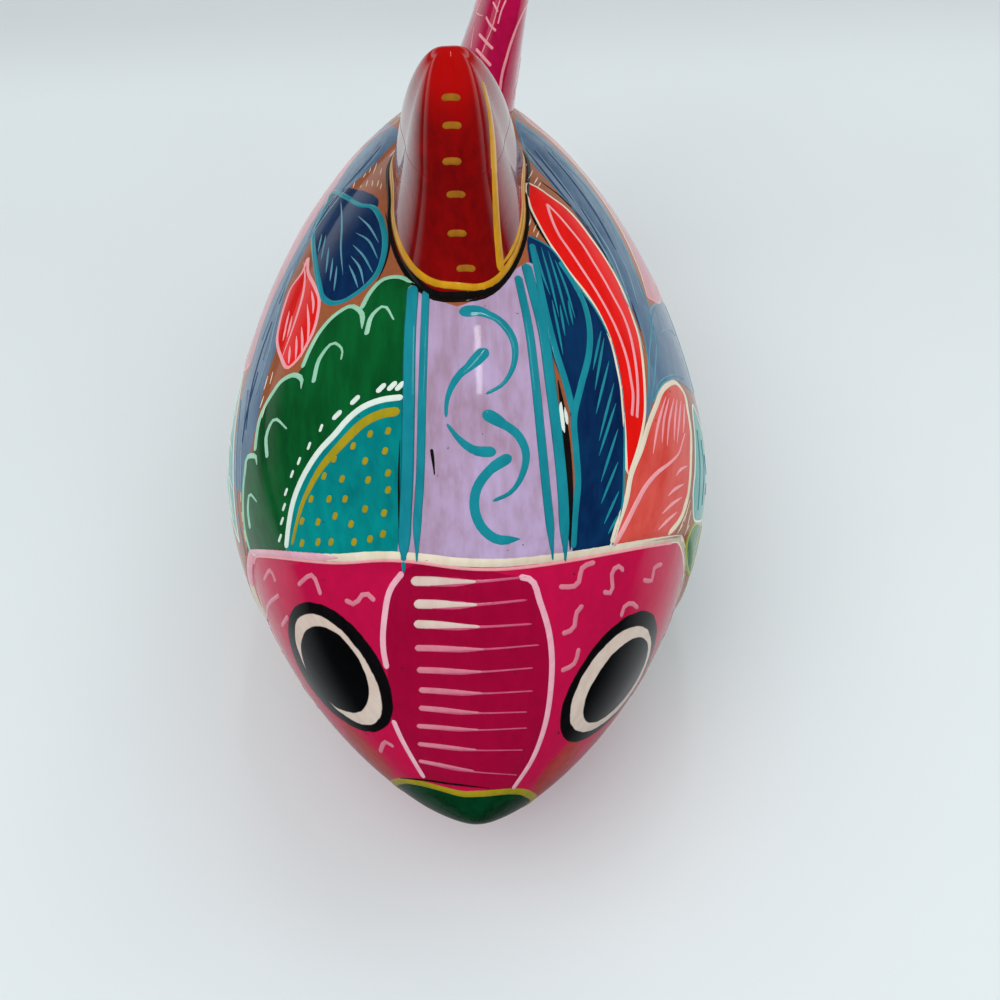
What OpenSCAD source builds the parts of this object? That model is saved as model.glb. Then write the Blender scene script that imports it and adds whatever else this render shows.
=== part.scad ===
// Painted terracotta fish: a hollow body pressed in two halves, with fins and lips luted on.
// The fish looks along -Y, stands on its pared belly at Z = 0 and is centred on its own length.
// Stations are distances from the tip of the lips, measured along the fish.

/* [Body] */
// Length of the body, from the tip of the lips to the root of the tail
body_len = 148; // [130:1:170]
// Widest place across the flanks
body_w = 80.4; // [66:0.2:96]
// Height of the back above the table
back_h = 75; // [66:1:88]
// Height of the mouth above the table
mouth_h = 36; // [30:1:42]
// Station of the widest place
widest_at = 60; // [48:0.5:70]
// Station of the highest place of the back
highest_at = 62; // [50:1:74]
// Station of the lowest place of the belly
lowest_at = 59; // [48:1:70]
// Depth pared off the round belly so that it stands flat
belly_pared = 4; // [2:0.5:7]
// Thickness of the clay wall
wall = 5; // [3:0.25:7]
// Diameter of the steam vent pricked through the belly
vent_d = 5; // [3:0.5:8]
// Distance of the vent from the seam
vent_off = 12; // [8:0.5:16]

/* [Body curves] */
// Sharpness of the flanks at the snout, where 0.5 is round and 1 a point
flank_sharp = 0.77; // [0.6:0.01:0.9]
// Sharpness of the brow
brow_sharp = 0.6; // [0.5:0.01:0.75]
// Sharpness of the chin
chin_sharp = 0.65; // [0.5:0.01:0.8]
// Roundness of the shoulder where the snout's curves run out, where 2 is a full arc
shoulder_round = 1.8; // [1.6:0.05:2.2]
// Fullness of the flanks towards the tail, where less is fuller
flank_taper = 0.65; // [0.45:0.05:1]
// Fullness of the belly towards the tail, where less is fuller
belly_taper = 0.8; // [0.6:0.05:1.1]
// Squareness of a cross-section, where 2 is an ellipse
section_square = 2.15; // [1.9:0.05:2.5]
// Share of the height at which a cross-section is widest
flank_level = 0.54; // [0.45:0.01:0.6]

/* [Tail root] */
// Width of the body where the tail starts
root_w = 22; // [18:0.5:28]
// Height of its upper edge
root_top = 57; // [52:1:62]
// Height of its lower edge
root_bottom = 33; // [28:1:38]

/* [Lips] */
// Length of the lips, which close the front of the body
lip_len = 5.2; // [3.5:0.1:7]
// Height of the slit between the lips
mouth_slit = 1.4; // [0.8:0.1:2.4]
// Station at which the lips end in a small flat
lip_tip = 0.35; // [0.2:0.05:1]

/* [Dorsal fin] */
// Station of the front of its foot
fin_front = 67; // [61:0.5:73]
// Length of its foot
fin_len = 48; // [38:0.5:54]
// Thickness of the fin at its foot
fin_t = 18; // [14:0.5:24]
// Share of that thickness that is lost towards the top
fin_thin = 0.25; // [0:0.05:0.4]
// Distance of the fin from the seam, as it was set on by hand
fin_aside = 0.4; // [0:0.1:2]
// Height of the fin above the back
fin_rise = 23; // [16:0.5:32]
// How far its front edge leans back at the top
fin_rake = 18.5; // [8:0.5:24]
// How far its rear edge comes forward at the top
fin_back_rake = 14; // [4:0.5:18]
// Width of the clay roll worked in round its foot
fin_roll_w = 2.2; // [1.5:0.1:4]
// Height of that roll against the fin
fin_roll_h = 6.5; // [4:0.5:10]

/* [Tail fin] */
// How far the tail's front edge lies over the end of the body
tail_over = 23; // [16:1:30]
// Reach of the tail behind its root
tail_reach = 24; // [18:0.5:30]
// Height of the upper lobe above the middle of the root
tail_rise = 56; // [45:1:66]
// Depth of the lower lobe below the middle of the root
tail_drop = 33; // [24:1:38]
// How far the front edge sweeps back at the lobes
tail_sweep = 30; // [22:1:34]
// Depth of the notch in the rear edge
tail_notch = 10; // [5:0.5:14]
// Thickness at the root
tail_t = 18; // [12:0.5:20]
// Thickness at the lobes
tail_tip_t = 6; // [4:0.5:9]
// Sideways lean of the tail, which was set on out of true
tail_lean = 17; // [0:1:20]
// Distance of the tail's middle from the seam
tail_aside = 1.6; // [0:0.1:3]
// Length of the two clay fillets worked in between root and tail
fillet_len = 7; // [5:0.5:10]
// Clay left on the tail at the thin end of a fillet
fillet_edge = 1; // [0.5:0.1:1.5]

/* [Seam roll] */
// Width of the clay roll pressed along the seam inside the body
roll_w = 5; // [3:0.5:6]
// Height of that roll
roll_h = 2.5; // [1.5:0.25:4]
// Slip between the roll and the wall
roll_bed = 0.3; // [0.3:0.05:0.6]

/* [Hidden] */

// Facet counts
rows = 40;
half_pts = 22;
core_pts = 12;
lip_rows = 7;
fin_rows = 16;
fin_pts = 32;
tail_rows = 12;
tail_pts = 20;
roll_rows = 5;
roll_pts = 6;
fillet_rows = 4;
smooth = 48;

// Roundness of fins: how late they round over at the top, and how squarely
dome_late = 1.8;
dome_square = 2.2;
lobe_late = 6;
fin_square = 3.4;
sweep_curve = 1.6;
notch_curve = 1.5;
rake_curve = 0.95;
thin_curve = 1.8;
// How much broader the dorsal fin is behind its middle than before it
fin_egg = 0.35;
// Share of a fin's height that is left off where its last ring is capped
cap_short = 0.003;
// Least clay at the upper edge of the dorsal roll, and how deep pieces start below their seat
roll_edge = 0.6;
sunk = 1.5;
over = 1;
// Share of the root's height that a fillet keeps at its thin end
fillet_keep = 0.75;

root_mid = (root_top + root_bottom) / 2;
tail_front = body_len - tail_over;
fin_under = root_top;
core_start = lip_len + wall;
core_end = body_len - wall;

// Profile of the body along its stations
function clamp(u) = min(max(u, 0), 1);
function snout(u, sharp) = pow(1 - pow(1 - clamp(u), shoulder_round), sharp);
function taper(u, full) = pow(cos(90 * clamp(u)), full);
function behind(s, from) = (s - from) / (body_len - from);
function flank(s) =
    s < widest_at
        ? body_w / 2 * snout(s / widest_at, flank_sharp)
        : root_w / 2 + (body_w - root_w) / 2 * taper(behind(s, widest_at), flank_taper);
function crest(s) =
    s < highest_at
        ? mouth_h + (back_h - mouth_h) * snout(s / highest_at, brow_sharp)
        : root_top + (back_h - root_top) * taper(behind(s, highest_at), 1);
function keel(s) =
    s < lowest_at
        ? mouth_h - (mouth_h + belly_pared) * snout(s / lowest_at, chin_sharp)
        : root_bottom - (root_bottom + belly_pared) * taper(behind(s, lowest_at), belly_taper);
function level(s) = keel(s) + (crest(s) - keel(s)) * flank_level;
// Height of the back's surface at a station and a distance from the middle
function back_z(s, x) =
    level(s) + (crest(s) - level(s))
        * pow(1 - pow(min(abs(x) / flank(s), 1), section_square), 1 / section_square);

// Superellipse: its coordinates at an angle, for half axes of 1
function se_cos(a, square) = sign(cos(a)) * pow(abs(cos(a)), 2 / square);
function se_sin(a, square) = sign(sin(a)) * pow(abs(sin(a)), 2 / square);

// Stations crowd together towards the snout and the root
function spread(u) = u / 2 + (1 - cos(180 * u)) / 4;
function station(i, from, to) = from + (to - from) * spread(i / rows);

// Place of the fish: half its length lies before the origin
tail_tip = max([for (r = tail_rings()) for (p = r) p[1]]);
y_mid = (lip_tip + tail_tip) / 2;
function at(x, s, z) = [x, s - y_mid, z];

// Right half of a cross-section, from the back round to the middle of the belly.
// The inset moves it inwards by the wall, and the belly is flat at the inset's height.
function half_ring(s, inset, pts) =
    let (hw = flank(s) - inset, top = crest(s) - inset, low = keel(s) + inset, mid = level(s))
    let (cut = low < inset ? asin(pow((mid - inset) / (mid - low), section_square / 2)) : 90)
    let (last = min(cut, 90 - 180 / pts))
    concat(
        [for (j = [0 : pts - 1])
            let (a = 90 - (90 + last) * j / (pts - 1))
            let (reach = a > 0 ? top - mid : mid - low)
            at(hw * pow(cos(a), 2 / section_square), s, mid + reach * se_sin(a, section_square))],
        [at(0, s, max(low, inset))]
    );
function mirrored(p) = [-p[0], p[1], p[2]];
// Whole cross-section, round from the back by the right flank
function full_ring(s) =
    let (r = half_ring(s, 0, half_pts))
    concat(r, [for (j = [half_pts - 1 : -1 : 1]) mirrored(r[j])]);

// Triangles of a strip grid whose rings have n points; a closed grid also joins last to first
function grid_faces(ring_count, n, start = 0, closed = true, flip = false) =
    [for (i = [0 : ring_count - 2]) for (j = [0 : closed ? n - 1 : n - 2])
        let (a = start + i * n + j, b = start + i * n + (j + 1) % n, c = a + n, d = b + n)
        each flip ? [[a, b, c], [b, d, c]] : [[a, c, b], [b, c, d]]];
function cap_faces(n, start, flip = false) =
    [for (j = [1 : n - 2]) flip ? [start, start + j, start + j + 1] : [start, start + j + 1, start + j]];
function flat(rings) = [for (r = rings) each r];

// Solid skinned over closed rings of equal length, capped at both ends
module skin(rings, flip = false) {
    n = len(rings[0]);
    last = (len(rings) - 1) * n;
    polyhedron(
        points = flat(rings),
        faces = concat(
            grid_faces(len(rings), n, flip = flip),
            cap_faces(n, 0, flip = !flip),
            cap_faces(n, last, flip = flip)
        )
    );
}

// The body's outer form as one solid between two of its rows, to seat other pieces on
module body_form(first, last) {
    skin([for (i = [first : last]) full_ring(station(i, lip_len, body_len))]);
}

// Right half of the hollow body, with a flat rim on the seam
module half_shell() {
    outer = [for (i = [0 : rows]) half_ring(station(i, lip_len, body_len), 0, half_pts)];
    inner = [for (i = [0 : rows]) half_ring(station(i, core_start, core_end), wall, core_pts)];
    n = half_pts + 1;
    k = core_pts + 1;
    c = (rows + 1) * n;
    outer_end = rows * n;
    inner_end = c + rows * k;
    rim = [for (i = [0 : rows - 1])
        let (o = i * n, p = c + i * k)
        each [
            [o, p, o + n], [p, p + k, o + n],
            [o + n - 1, o + 2 * n - 1, p + k - 1], [p + k - 1, o + 2 * n - 1, p + 2 * k - 1],
        ]];
    ends = [
        [0, n - 1, c], [c, n - 1, c + k - 1],
        [outer_end, inner_end, outer_end + n - 1], [inner_end, inner_end + k - 1, outer_end + n - 1],
    ];
    polyhedron(
        points = concat(flat(outer), flat(inner)),
        faces = concat(
            grid_faces(rows + 1, n, 0, false),
            cap_faces(n, 0, true),
            cap_faces(n, outer_end),
            grid_faces(rows + 1, k, c, false, true),
            cap_faces(k, c),
            cap_faces(k, inner_end, true),
            rim,
            ends
        )
    );
}

module left_body_shell() {
    color("mediumvioletred") mirror([1, 0, 0]) half_shell();
}

module right_body_shell() {
    color("teal") difference() {
        half_shell();
        translate(at(vent_off, lowest_at, -over))
            cylinder(d = vent_d, h = wall + 2 * over, $fn = smooth);
    }
}

// Inside of the seam as one loop of points: along under the back, then back along the floor
function seam_top(s) = at(0, s, crest(s) - wall - roll_bed);
function seam_floor(s) = at(0, s, max(keel(s), 0) + wall + roll_bed);
function seam_loop() =
    let (from = core_start + roll_bed, to = core_end - roll_bed)
    concat(
        [for (i = [0 : rows]) seam_top(station(i, from, to))],
        [for (i = [rows : -1 : 0]) seam_floor(station(i, from, to))]
    );
function unit(v) = v / norm(v);

// A low roll of clay, flat against the wall and round towards the hollow
module seam_roll() {
    path = seam_loop();
    n = len(path);
    rings = [for (i = [0 : n - 1])
        let (fore = unit(path[(i + 1) % n] - path[i]), aft = unit(path[i] - path[(i + n - 1) % n]))
        let (along = unit(fore + aft), inwards = [0, along[2], -along[1]])
        [for (j = [0 : roll_pts])
            let (a = 180 * j / roll_pts)
            path[i] + [roll_w / 2 * cos(a), 0, 0] + inwards * roll_h * sin(a)]];
    color("sienna") polyhedron(
        points = flat(concat(rings, [rings[0]])),
        faces = loop_faces(n, roll_pts + 1)
    );
}
// Triangles of a ring of closed rings, whose end joins its start
function loop_faces(ring_count, n) =
    [for (i = [0 : ring_count - 1]) for (j = [0 : n - 1])
        let (e = (i + 1) % ring_count)
        let (a = i * n + j, b = i * n + (j + 1) % n, c = e * n + j, d = e * n + (j + 1) % n)
        each [[a, c, b], [b, c, d]]];

// One lip: the snout's tip above or below the mouth slit, with side 1 for up and -1 for down
module lip(side) {
    rings = [for (i = [lip_rows : -1 : 0])
        let (s = lip_tip + (lip_len - lip_tip) * pow(i / lip_rows, 2))
        let (mid = level(s), reach = side > 0 ? crest(s) - mid : mid - keel(s))
        let (first = asin(pow(mouth_slit / 2 / reach, section_square / 2)))
        [for (j = [0 : half_pts])
            let (a = first + (180 - 2 * first) * j / half_pts)
            at(flank(s) * se_cos(a, section_square), s, mid + side * reach * se_sin(a, section_square))]];
    skin(rings, flip = side < 0);
}

module upper_lip() {
    color("darkgreen") lip(1);
}

module lower_lip() {
    color("seagreen") lip(-1);
}

// Outline of the dorsal fin in plan at a height, moved outwards by a distance
function fin_part(z) = clamp((z - back_h) / fin_rise);
function fin_dome(h) = pow(1 - pow(h, dome_late), 1 / dome_square);
function fin_point(z, a, out) =
    let (h = fin_part(z), dome = fin_dome(h), half = fin_t / 2 * (1 - fin_thin * h))
    let (front = fin_front + fin_rake * pow(h, rake_curve))
    let (rear = fin_front + fin_len - fin_back_rake * h)
    at(
        fin_aside + (half * dome + out) * se_sin(a, fin_square) * (1 + fin_egg * cos(a)),
        (front + rear) / 2 + ((rear - front) / 2 * dome + out) * se_cos(a, fin_square),
        z
    );

module fin_form() {
    heights = concat(
        [fin_under],
        [for (i = [0 : fin_rows]) back_h + fin_rise * (1 - cap_short) * sin(90 * i / fin_rows)]
    );
    skin([for (z = heights) [for (j = [0 : fin_pts - 1]) fin_point(z, 360 * j / fin_pts, 0)]],
        flip = true);
}

// Rows of the body's form that lie under a piece which reaches from one station to another
function row_before(s) = max([for (i = [0 : rows]) if (station(i, lip_len, body_len) < s - over) i]);
function row_after(s) = min([for (i = [0 : rows]) if (station(i, lip_len, body_len) > s + over) i]);

module form_under_fin() {
    body_form(row_before(fin_front - fin_roll_w), row_after(fin_front + fin_len + fin_roll_w));
}

module dorsal_fin() {
    color("firebrick") difference() {
        fin_form();
        form_under_fin();
    }
}

// A roll of clay round the fin's foot, smeared hollow from the back up to the fin
module dorsal_fin_roll() {
    columns = [for (j = [0 : fin_pts - 1])
        let (a = 360 * j / fin_pts, foot = fin_point(back_h, a, fin_roll_w))
        let (seat = back_z(foot[1] + y_mid, foot[0]))
        concat(
            [fin_point(seat - sunk, a, fin_roll_w)],
            [for (k = [0 : roll_rows])
                let (u = k / roll_rows)
                fin_point(seat + fin_roll_h * u, a, roll_edge + (fin_roll_w - roll_edge) * pow(1 - u, 2))],
            [fin_point(seat + fin_roll_h, a, -sunk), fin_point(seat - sunk, a, -sunk)]
        )];
    color("goldenrod") difference() {
        polyhedron(points = flat(columns), faces = loop_faces(fin_pts, roll_rows + 4));
        fin_form();
        form_under_fin();
    }
}

// Cross-section of the upright tail at a share of its rise or drop
function tail_ring(share, lobe) =
    let (dome = pow(1 - pow(share, lobe_late), 1 / dome_square))
    let (front = tail_front + tail_sweep * pow(share, sweep_curve))
    let (rear = body_len + tail_reach - tail_notch * (1 - pow(share, notch_curve)))
    let (half = (rear - front) / 2 * dome)
    let (thick = (tail_tip_t + (tail_t - tail_tip_t) * pow(1 - share, thin_curve)) / 2 * dome)
    [for (j = [0 : tail_pts - 1])
        let (a = 360 * j / tail_pts)
        [thick * sin(a), (front + rear) / 2 + half * cos(a), lobe * share]];
function tail_shares() = [for (i = [0 : tail_rows]) (1 - cap_short) * sin(90 * i / tail_rows)];
function tail_rings() =
    concat(
        [for (i = [tail_rows : -1 : 1]) tail_ring(tail_shares()[i], -tail_drop)],
        [for (i = [0 : tail_rows]) tail_ring(tail_shares()[i], tail_rise)]
    );
function leaned(p) =
    at(
        tail_aside + p[0] * cos(tail_lean) + p[2] * sin(tail_lean),
        p[1],
        root_mid + p[2] * cos(tail_lean) - p[0] * sin(tail_lean)
    );

module tail_form() {
    skin([for (r = tail_rings()) [for (p = r) leaned(p)]], flip = true);
}

module tail_fin() {
    color("deeppink") difference() {
        tail_form();
        body_form(row_before(tail_front), rows);
    }
}

// Half thickness of the tail at a station, halfway up
function tail_half(s) =
    let (front = tail_front, rear = body_len + tail_reach - tail_notch)
    tail_t / 2 * sqrt(1 - pow((2 * s - front - rear) / (rear - front), 2));

// A clay fillet on each side, drawn from the root's end face out along the tail
module tail_fillets() {
    root = full_ring(body_len);
    n = len(root);
    thin = [for (j = [0 : n - 1])
        let (a = 90 - 360 * j / n)
        leaned([
            (tail_half(body_len + fillet_len) + fillet_edge) * cos(a),
            body_len + fillet_len,
            (root_top - root_bottom) / 2 * fillet_keep * sin(a),
        ])];
    rings = [for (k = [0 : fillet_rows])
        let (u = k / fillet_rows, narrow = 1 - pow(1 - u, 2))
        [for (j = [0 : n - 1])
            [
                root[j][0] + (thin[j][0] - root[j][0]) * narrow,
                root[j][1] + fillet_len * u,
                root[j][2] + (thin[j][2] - root[j][2]) * narrow,
            ]]];
    color("hotpink") difference() {
        skin(rings);
        tail_form();
    }
}

left_body_shell();
right_body_shell();
seam_roll();
upper_lip();
lower_lip();
dorsal_fin();
dorsal_fin_roll();
tail_fin();
tail_fillets();
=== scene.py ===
"""Looks of a painted terracotta fish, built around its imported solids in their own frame.

Lengths are millimetres in the fish's frame until a mesh is made, which is in metres.
A station is a distance from the tip of the lips, along the fish.
An angle of the body is 0 on the back, positive to the viewer's right and half a turn on the belly.
"""

import logging
import math
from abc import ABC, abstractmethod
from dataclasses import dataclass, field
from enum import Enum
from typing import Any, Callable, Sequence

import bpy
import numpy as np
from mathutils import Matrix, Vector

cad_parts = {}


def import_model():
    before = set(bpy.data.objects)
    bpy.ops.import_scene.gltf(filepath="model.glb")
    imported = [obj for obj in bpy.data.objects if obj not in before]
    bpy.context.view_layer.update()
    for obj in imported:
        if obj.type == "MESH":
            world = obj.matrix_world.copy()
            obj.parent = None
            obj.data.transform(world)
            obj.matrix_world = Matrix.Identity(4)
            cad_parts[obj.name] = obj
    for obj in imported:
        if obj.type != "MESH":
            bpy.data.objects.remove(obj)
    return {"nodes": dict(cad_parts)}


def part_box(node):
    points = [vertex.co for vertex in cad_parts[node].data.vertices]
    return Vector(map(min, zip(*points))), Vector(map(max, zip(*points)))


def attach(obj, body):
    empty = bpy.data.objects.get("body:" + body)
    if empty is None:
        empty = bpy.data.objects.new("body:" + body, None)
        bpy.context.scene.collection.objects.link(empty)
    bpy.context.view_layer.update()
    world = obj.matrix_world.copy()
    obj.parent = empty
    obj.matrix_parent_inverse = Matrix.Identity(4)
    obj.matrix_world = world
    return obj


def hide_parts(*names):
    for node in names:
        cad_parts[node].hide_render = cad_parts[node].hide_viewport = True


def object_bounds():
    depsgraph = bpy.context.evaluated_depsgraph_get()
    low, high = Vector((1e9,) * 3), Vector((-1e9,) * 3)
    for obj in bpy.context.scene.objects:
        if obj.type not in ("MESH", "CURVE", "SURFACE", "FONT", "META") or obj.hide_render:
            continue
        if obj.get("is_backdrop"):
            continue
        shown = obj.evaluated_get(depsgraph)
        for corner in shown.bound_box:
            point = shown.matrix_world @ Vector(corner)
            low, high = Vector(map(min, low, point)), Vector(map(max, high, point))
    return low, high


LOG = logging.getLogger("fish")
MM = 0.001
TINY = 1e-9
Array = np.ndarray
Knots = Sequence[tuple[float, float]]
Scale = float | tuple[float, float, float]


def rgb(code: str) -> tuple[float, float, float, float]:
    """Linear colour of a screen colour of six hexadecimal digits."""
    parts = [int(code[i : i + 2], 16) / 255 for i in (0, 2, 4)]
    low = [c / 12.92 if c <= 0.04045 else ((c + 0.055) / 1.055) ** 2.4 for c in parts]
    return (low[0], low[1], low[2], 1.0)


def signed_power(base: Array, power: float) -> Array:
    """Power of the size of a number, with the number's sign."""
    return np.sign(base) * np.abs(base) ** power


def ease(u: Array) -> Array:
    """Smooth step: 0 below 0, 1 above 1 and a cubic between."""
    t = np.clip(u, 0.0, 1.0)
    return t * t * (3.0 - 2.0 * t)


def curve(knots: Knots, count: int, closed: bool = False) -> Array:
    """Smooth curve through knots.

    Each span is a cubic Hermite piece, whose slopes are central differences by chord length.

    Args:
        knots: Points on the curve, in order.
        count: Number of points returned.
        closed: Whether the last knot joins the first.

    Returns:
        Points along the curve, one per row.
    """
    p = np.asarray(knots, float)
    pad = 0
    if closed:
        pad = 2
        p = np.vstack([p[-2:], p, p[:3]])
    t = np.concatenate([[0.0], np.cumsum(np.linalg.norm(np.diff(p, axis=0), axis=1) + TINY)])
    slope = np.gradient(p, t, axis=0)
    last = len(p) - 1 - pad
    q = np.linspace(t[pad], t[last], count, endpoint=not closed)
    i = np.clip(np.searchsorted(t, q, "right") - 1, 0, len(p) - 2)
    span = (t[i + 1] - t[i])[:, None]
    x = ((q - t[i])[:, None]) / span
    start = (1 + 2 * x) * (1 - x) ** 2 * p[i] + x * (1 - x) ** 2 * span * slope[i]
    end = x**2 * (3 - 2 * x) * p[i + 1] - x**2 * (1 - x) * span * slope[i + 1]
    return start + end


def grid_quads(rows: int, cols: int, start: int = 0, wrap: bool = False) -> Array:
    """Quads of a grid of points, row by row.

    Args:
        rows: Number of rows of points.
        cols: Number of points in a row.
        start: Number of the first point.
        wrap: Whether the last column joins the first.

    Returns:
        Point numbers, four to a quad, facing along the columns' direction crossed with the rows'.
    """
    r = np.arange(rows - 1)[:, None]
    c = np.arange(cols if wrap else cols - 1)[None, :]
    a = start + r * cols + c
    b = start + r * cols + (c + 1) % cols
    return np.stack([a, b, b + cols, a + cols], -1).reshape(-1, 4)


def fan(ring: Array, tip: int) -> Array:
    """Triangles between a closed ring of point numbers and one more point."""
    return np.stack([np.roll(ring, -1), ring, np.full(len(ring), tip)], -1)


def turns(count: int) -> Array:
    """Even angles once round."""
    return np.linspace(0, 2 * np.pi, count, endpoint=False)


def columns(*parts: Array | float) -> Array:
    """Values side by side along a last axis, spread to one shape."""
    return np.stack(np.broadcast_arrays(*parts), -1)


def net(first: tuple[float, float, int], second: tuple[float, float, int]) -> tuple[Array, Array]:
    """Two parameters of a net, each given by its low and high value and its number of steps."""
    u, v = np.meshgrid(np.linspace(*first), np.linspace(*second), indexing="ij")
    return u.ravel(), v.ravel()


def dot(a: Array, b: Array) -> Array:
    """Sum of products along the last axis."""
    return (a * b).sum(-1)


def unit(v: Array) -> Array:
    """Vectors made one long."""
    return v / np.maximum(np.linalg.norm(v, axis=-1, keepdims=True), TINY)


def solved(aa: Array, ab: Array, bb: Array, ra: Array, rb: Array) -> tuple[Array, Array]:
    """Both unknowns of two equations whose matrix is symmetric, by Cramer's rule."""
    det = np.maximum(aa * bb - ab * ab, TINY)
    return (bb * ra - ab * rb) / det, (aa * rb - ab * ra) / det


def linked(name: str, data: bpy.types.ID) -> bpy.types.Object:
    """A new object in the scene."""
    made = bpy.data.objects.new(name, data)
    bpy.context.scene.collection.objects.link(made)
    return made


@dataclass
class Patch:
    """A mesh in the making: points, smooth faces and flat faces."""

    points: Array
    smooth: list[Array] = field(default_factory=list)
    flat: list[list[int]] = field(default_factory=list)

    def flipped(self) -> "Patch":
        """The same mesh with its faces turned over."""
        return Patch(
            self.points, [f[:, ::-1] for f in self.smooth], [f[::-1] for f in self.flat]
        )

    def mirrored(self) -> "Patch":
        """The mesh's mirror image across the fish's middle, still facing outwards."""
        return Patch(self.points * np.array([-1.0, 1.0, 1.0]), self.smooth, self.flat).flipped()

    @staticmethod
    def joined(patches: Sequence["Patch"]) -> "Patch":
        """One mesh of several, with their points numbered on."""
        sizes = np.cumsum([0] + [len(p.points) for p in patches])
        smooth = [f + n for p, n in zip(patches, sizes) for f in p.smooth]
        flat = [[i + int(n) for i in f] for p, n in zip(patches, sizes) for f in p.flat]
        return Patch(np.concatenate([p.points for p in patches]), smooth, flat)


class Workshop:
    """Turns patches into pieces that ride on the fish, inside the solids' box."""

    def __init__(self, low: Array, high: Array) -> None:
        """Keeps the corners of the solids' box, in metres."""
        self.low = low
        self.high = high

    def piece(
        self,
        name: str,
        patch: Patch,
        material: bpy.types.Material,
        stands_for: Sequence[str] = (),
        attributes: dict[str, Array] | None = None,
    ) -> None:
        """Makes an object of a patch, which rides on the fish.

        Args:
            name: The object's name.
            patch: Its points in millimetres, and its faces.
            material: Its finish.
            stands_for: Names of the solids that it replaces.
            attributes: Values to keep on its points, by name.
        """
        mesh = bpy.data.meshes.new(name)
        points = np.clip(patch.points * MM, self.low, self.high)
        quads = [row for f in patch.smooth for row in f.tolist()]
        mesh.from_pydata(points.tolist(), [], quads + patch.flat)
        is_smooth = np.zeros(len(mesh.polygons), bool)
        is_smooth[: len(quads)] = True
        mesh.polygons.foreach_set("use_smooth", is_smooth)
        for key, values in (attributes or {}).items():
            layer = mesh.attributes.new(key, "FLOAT", "POINT")
            layer.data.foreach_set("value", values.astype(np.float32))
        mesh.materials.append(material)
        mesh.update()
        made = linked(name, mesh)
        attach(made, "root")
        if stands_for:
            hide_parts(*stands_for)
        LOG.info("%s: %d points, %d faces", name, len(points), len(mesh.polygons))


class Surface(ABC):
    """A clay surface given by two parameters."""

    steps: tuple[float, float] = (0.05, 0.002)
    outward: float = 1.0

    @abstractmethod
    def point(self, u: Array, v: Array) -> Array:
        """Points of the surface at two parameters."""

    @abstractmethod
    def search(self) -> tuple[Array, Array]:
        """Parameters of a coarse net over the surface, to look a place up in."""

    def slopes(self, u: Array, v: Array) -> tuple[Array, Array, Array]:
        """Changes along both parameters, by central differences, and the unit normal.

        Args:
            u: First parameter.
            v: Second parameter.

        Returns:
            The change for a unit of each parameter, and their cross product made one long,
            which points outwards.
        """
        du, dv = self.steps
        along = (self.point(u + du, v) - self.point(u - du, v)) / (2 * du)
        across = (self.point(u, v + dv) - self.point(u, v - dv)) / (2 * dv)
        return along, across, unit(np.cross(across, along) * self.outward)


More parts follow.
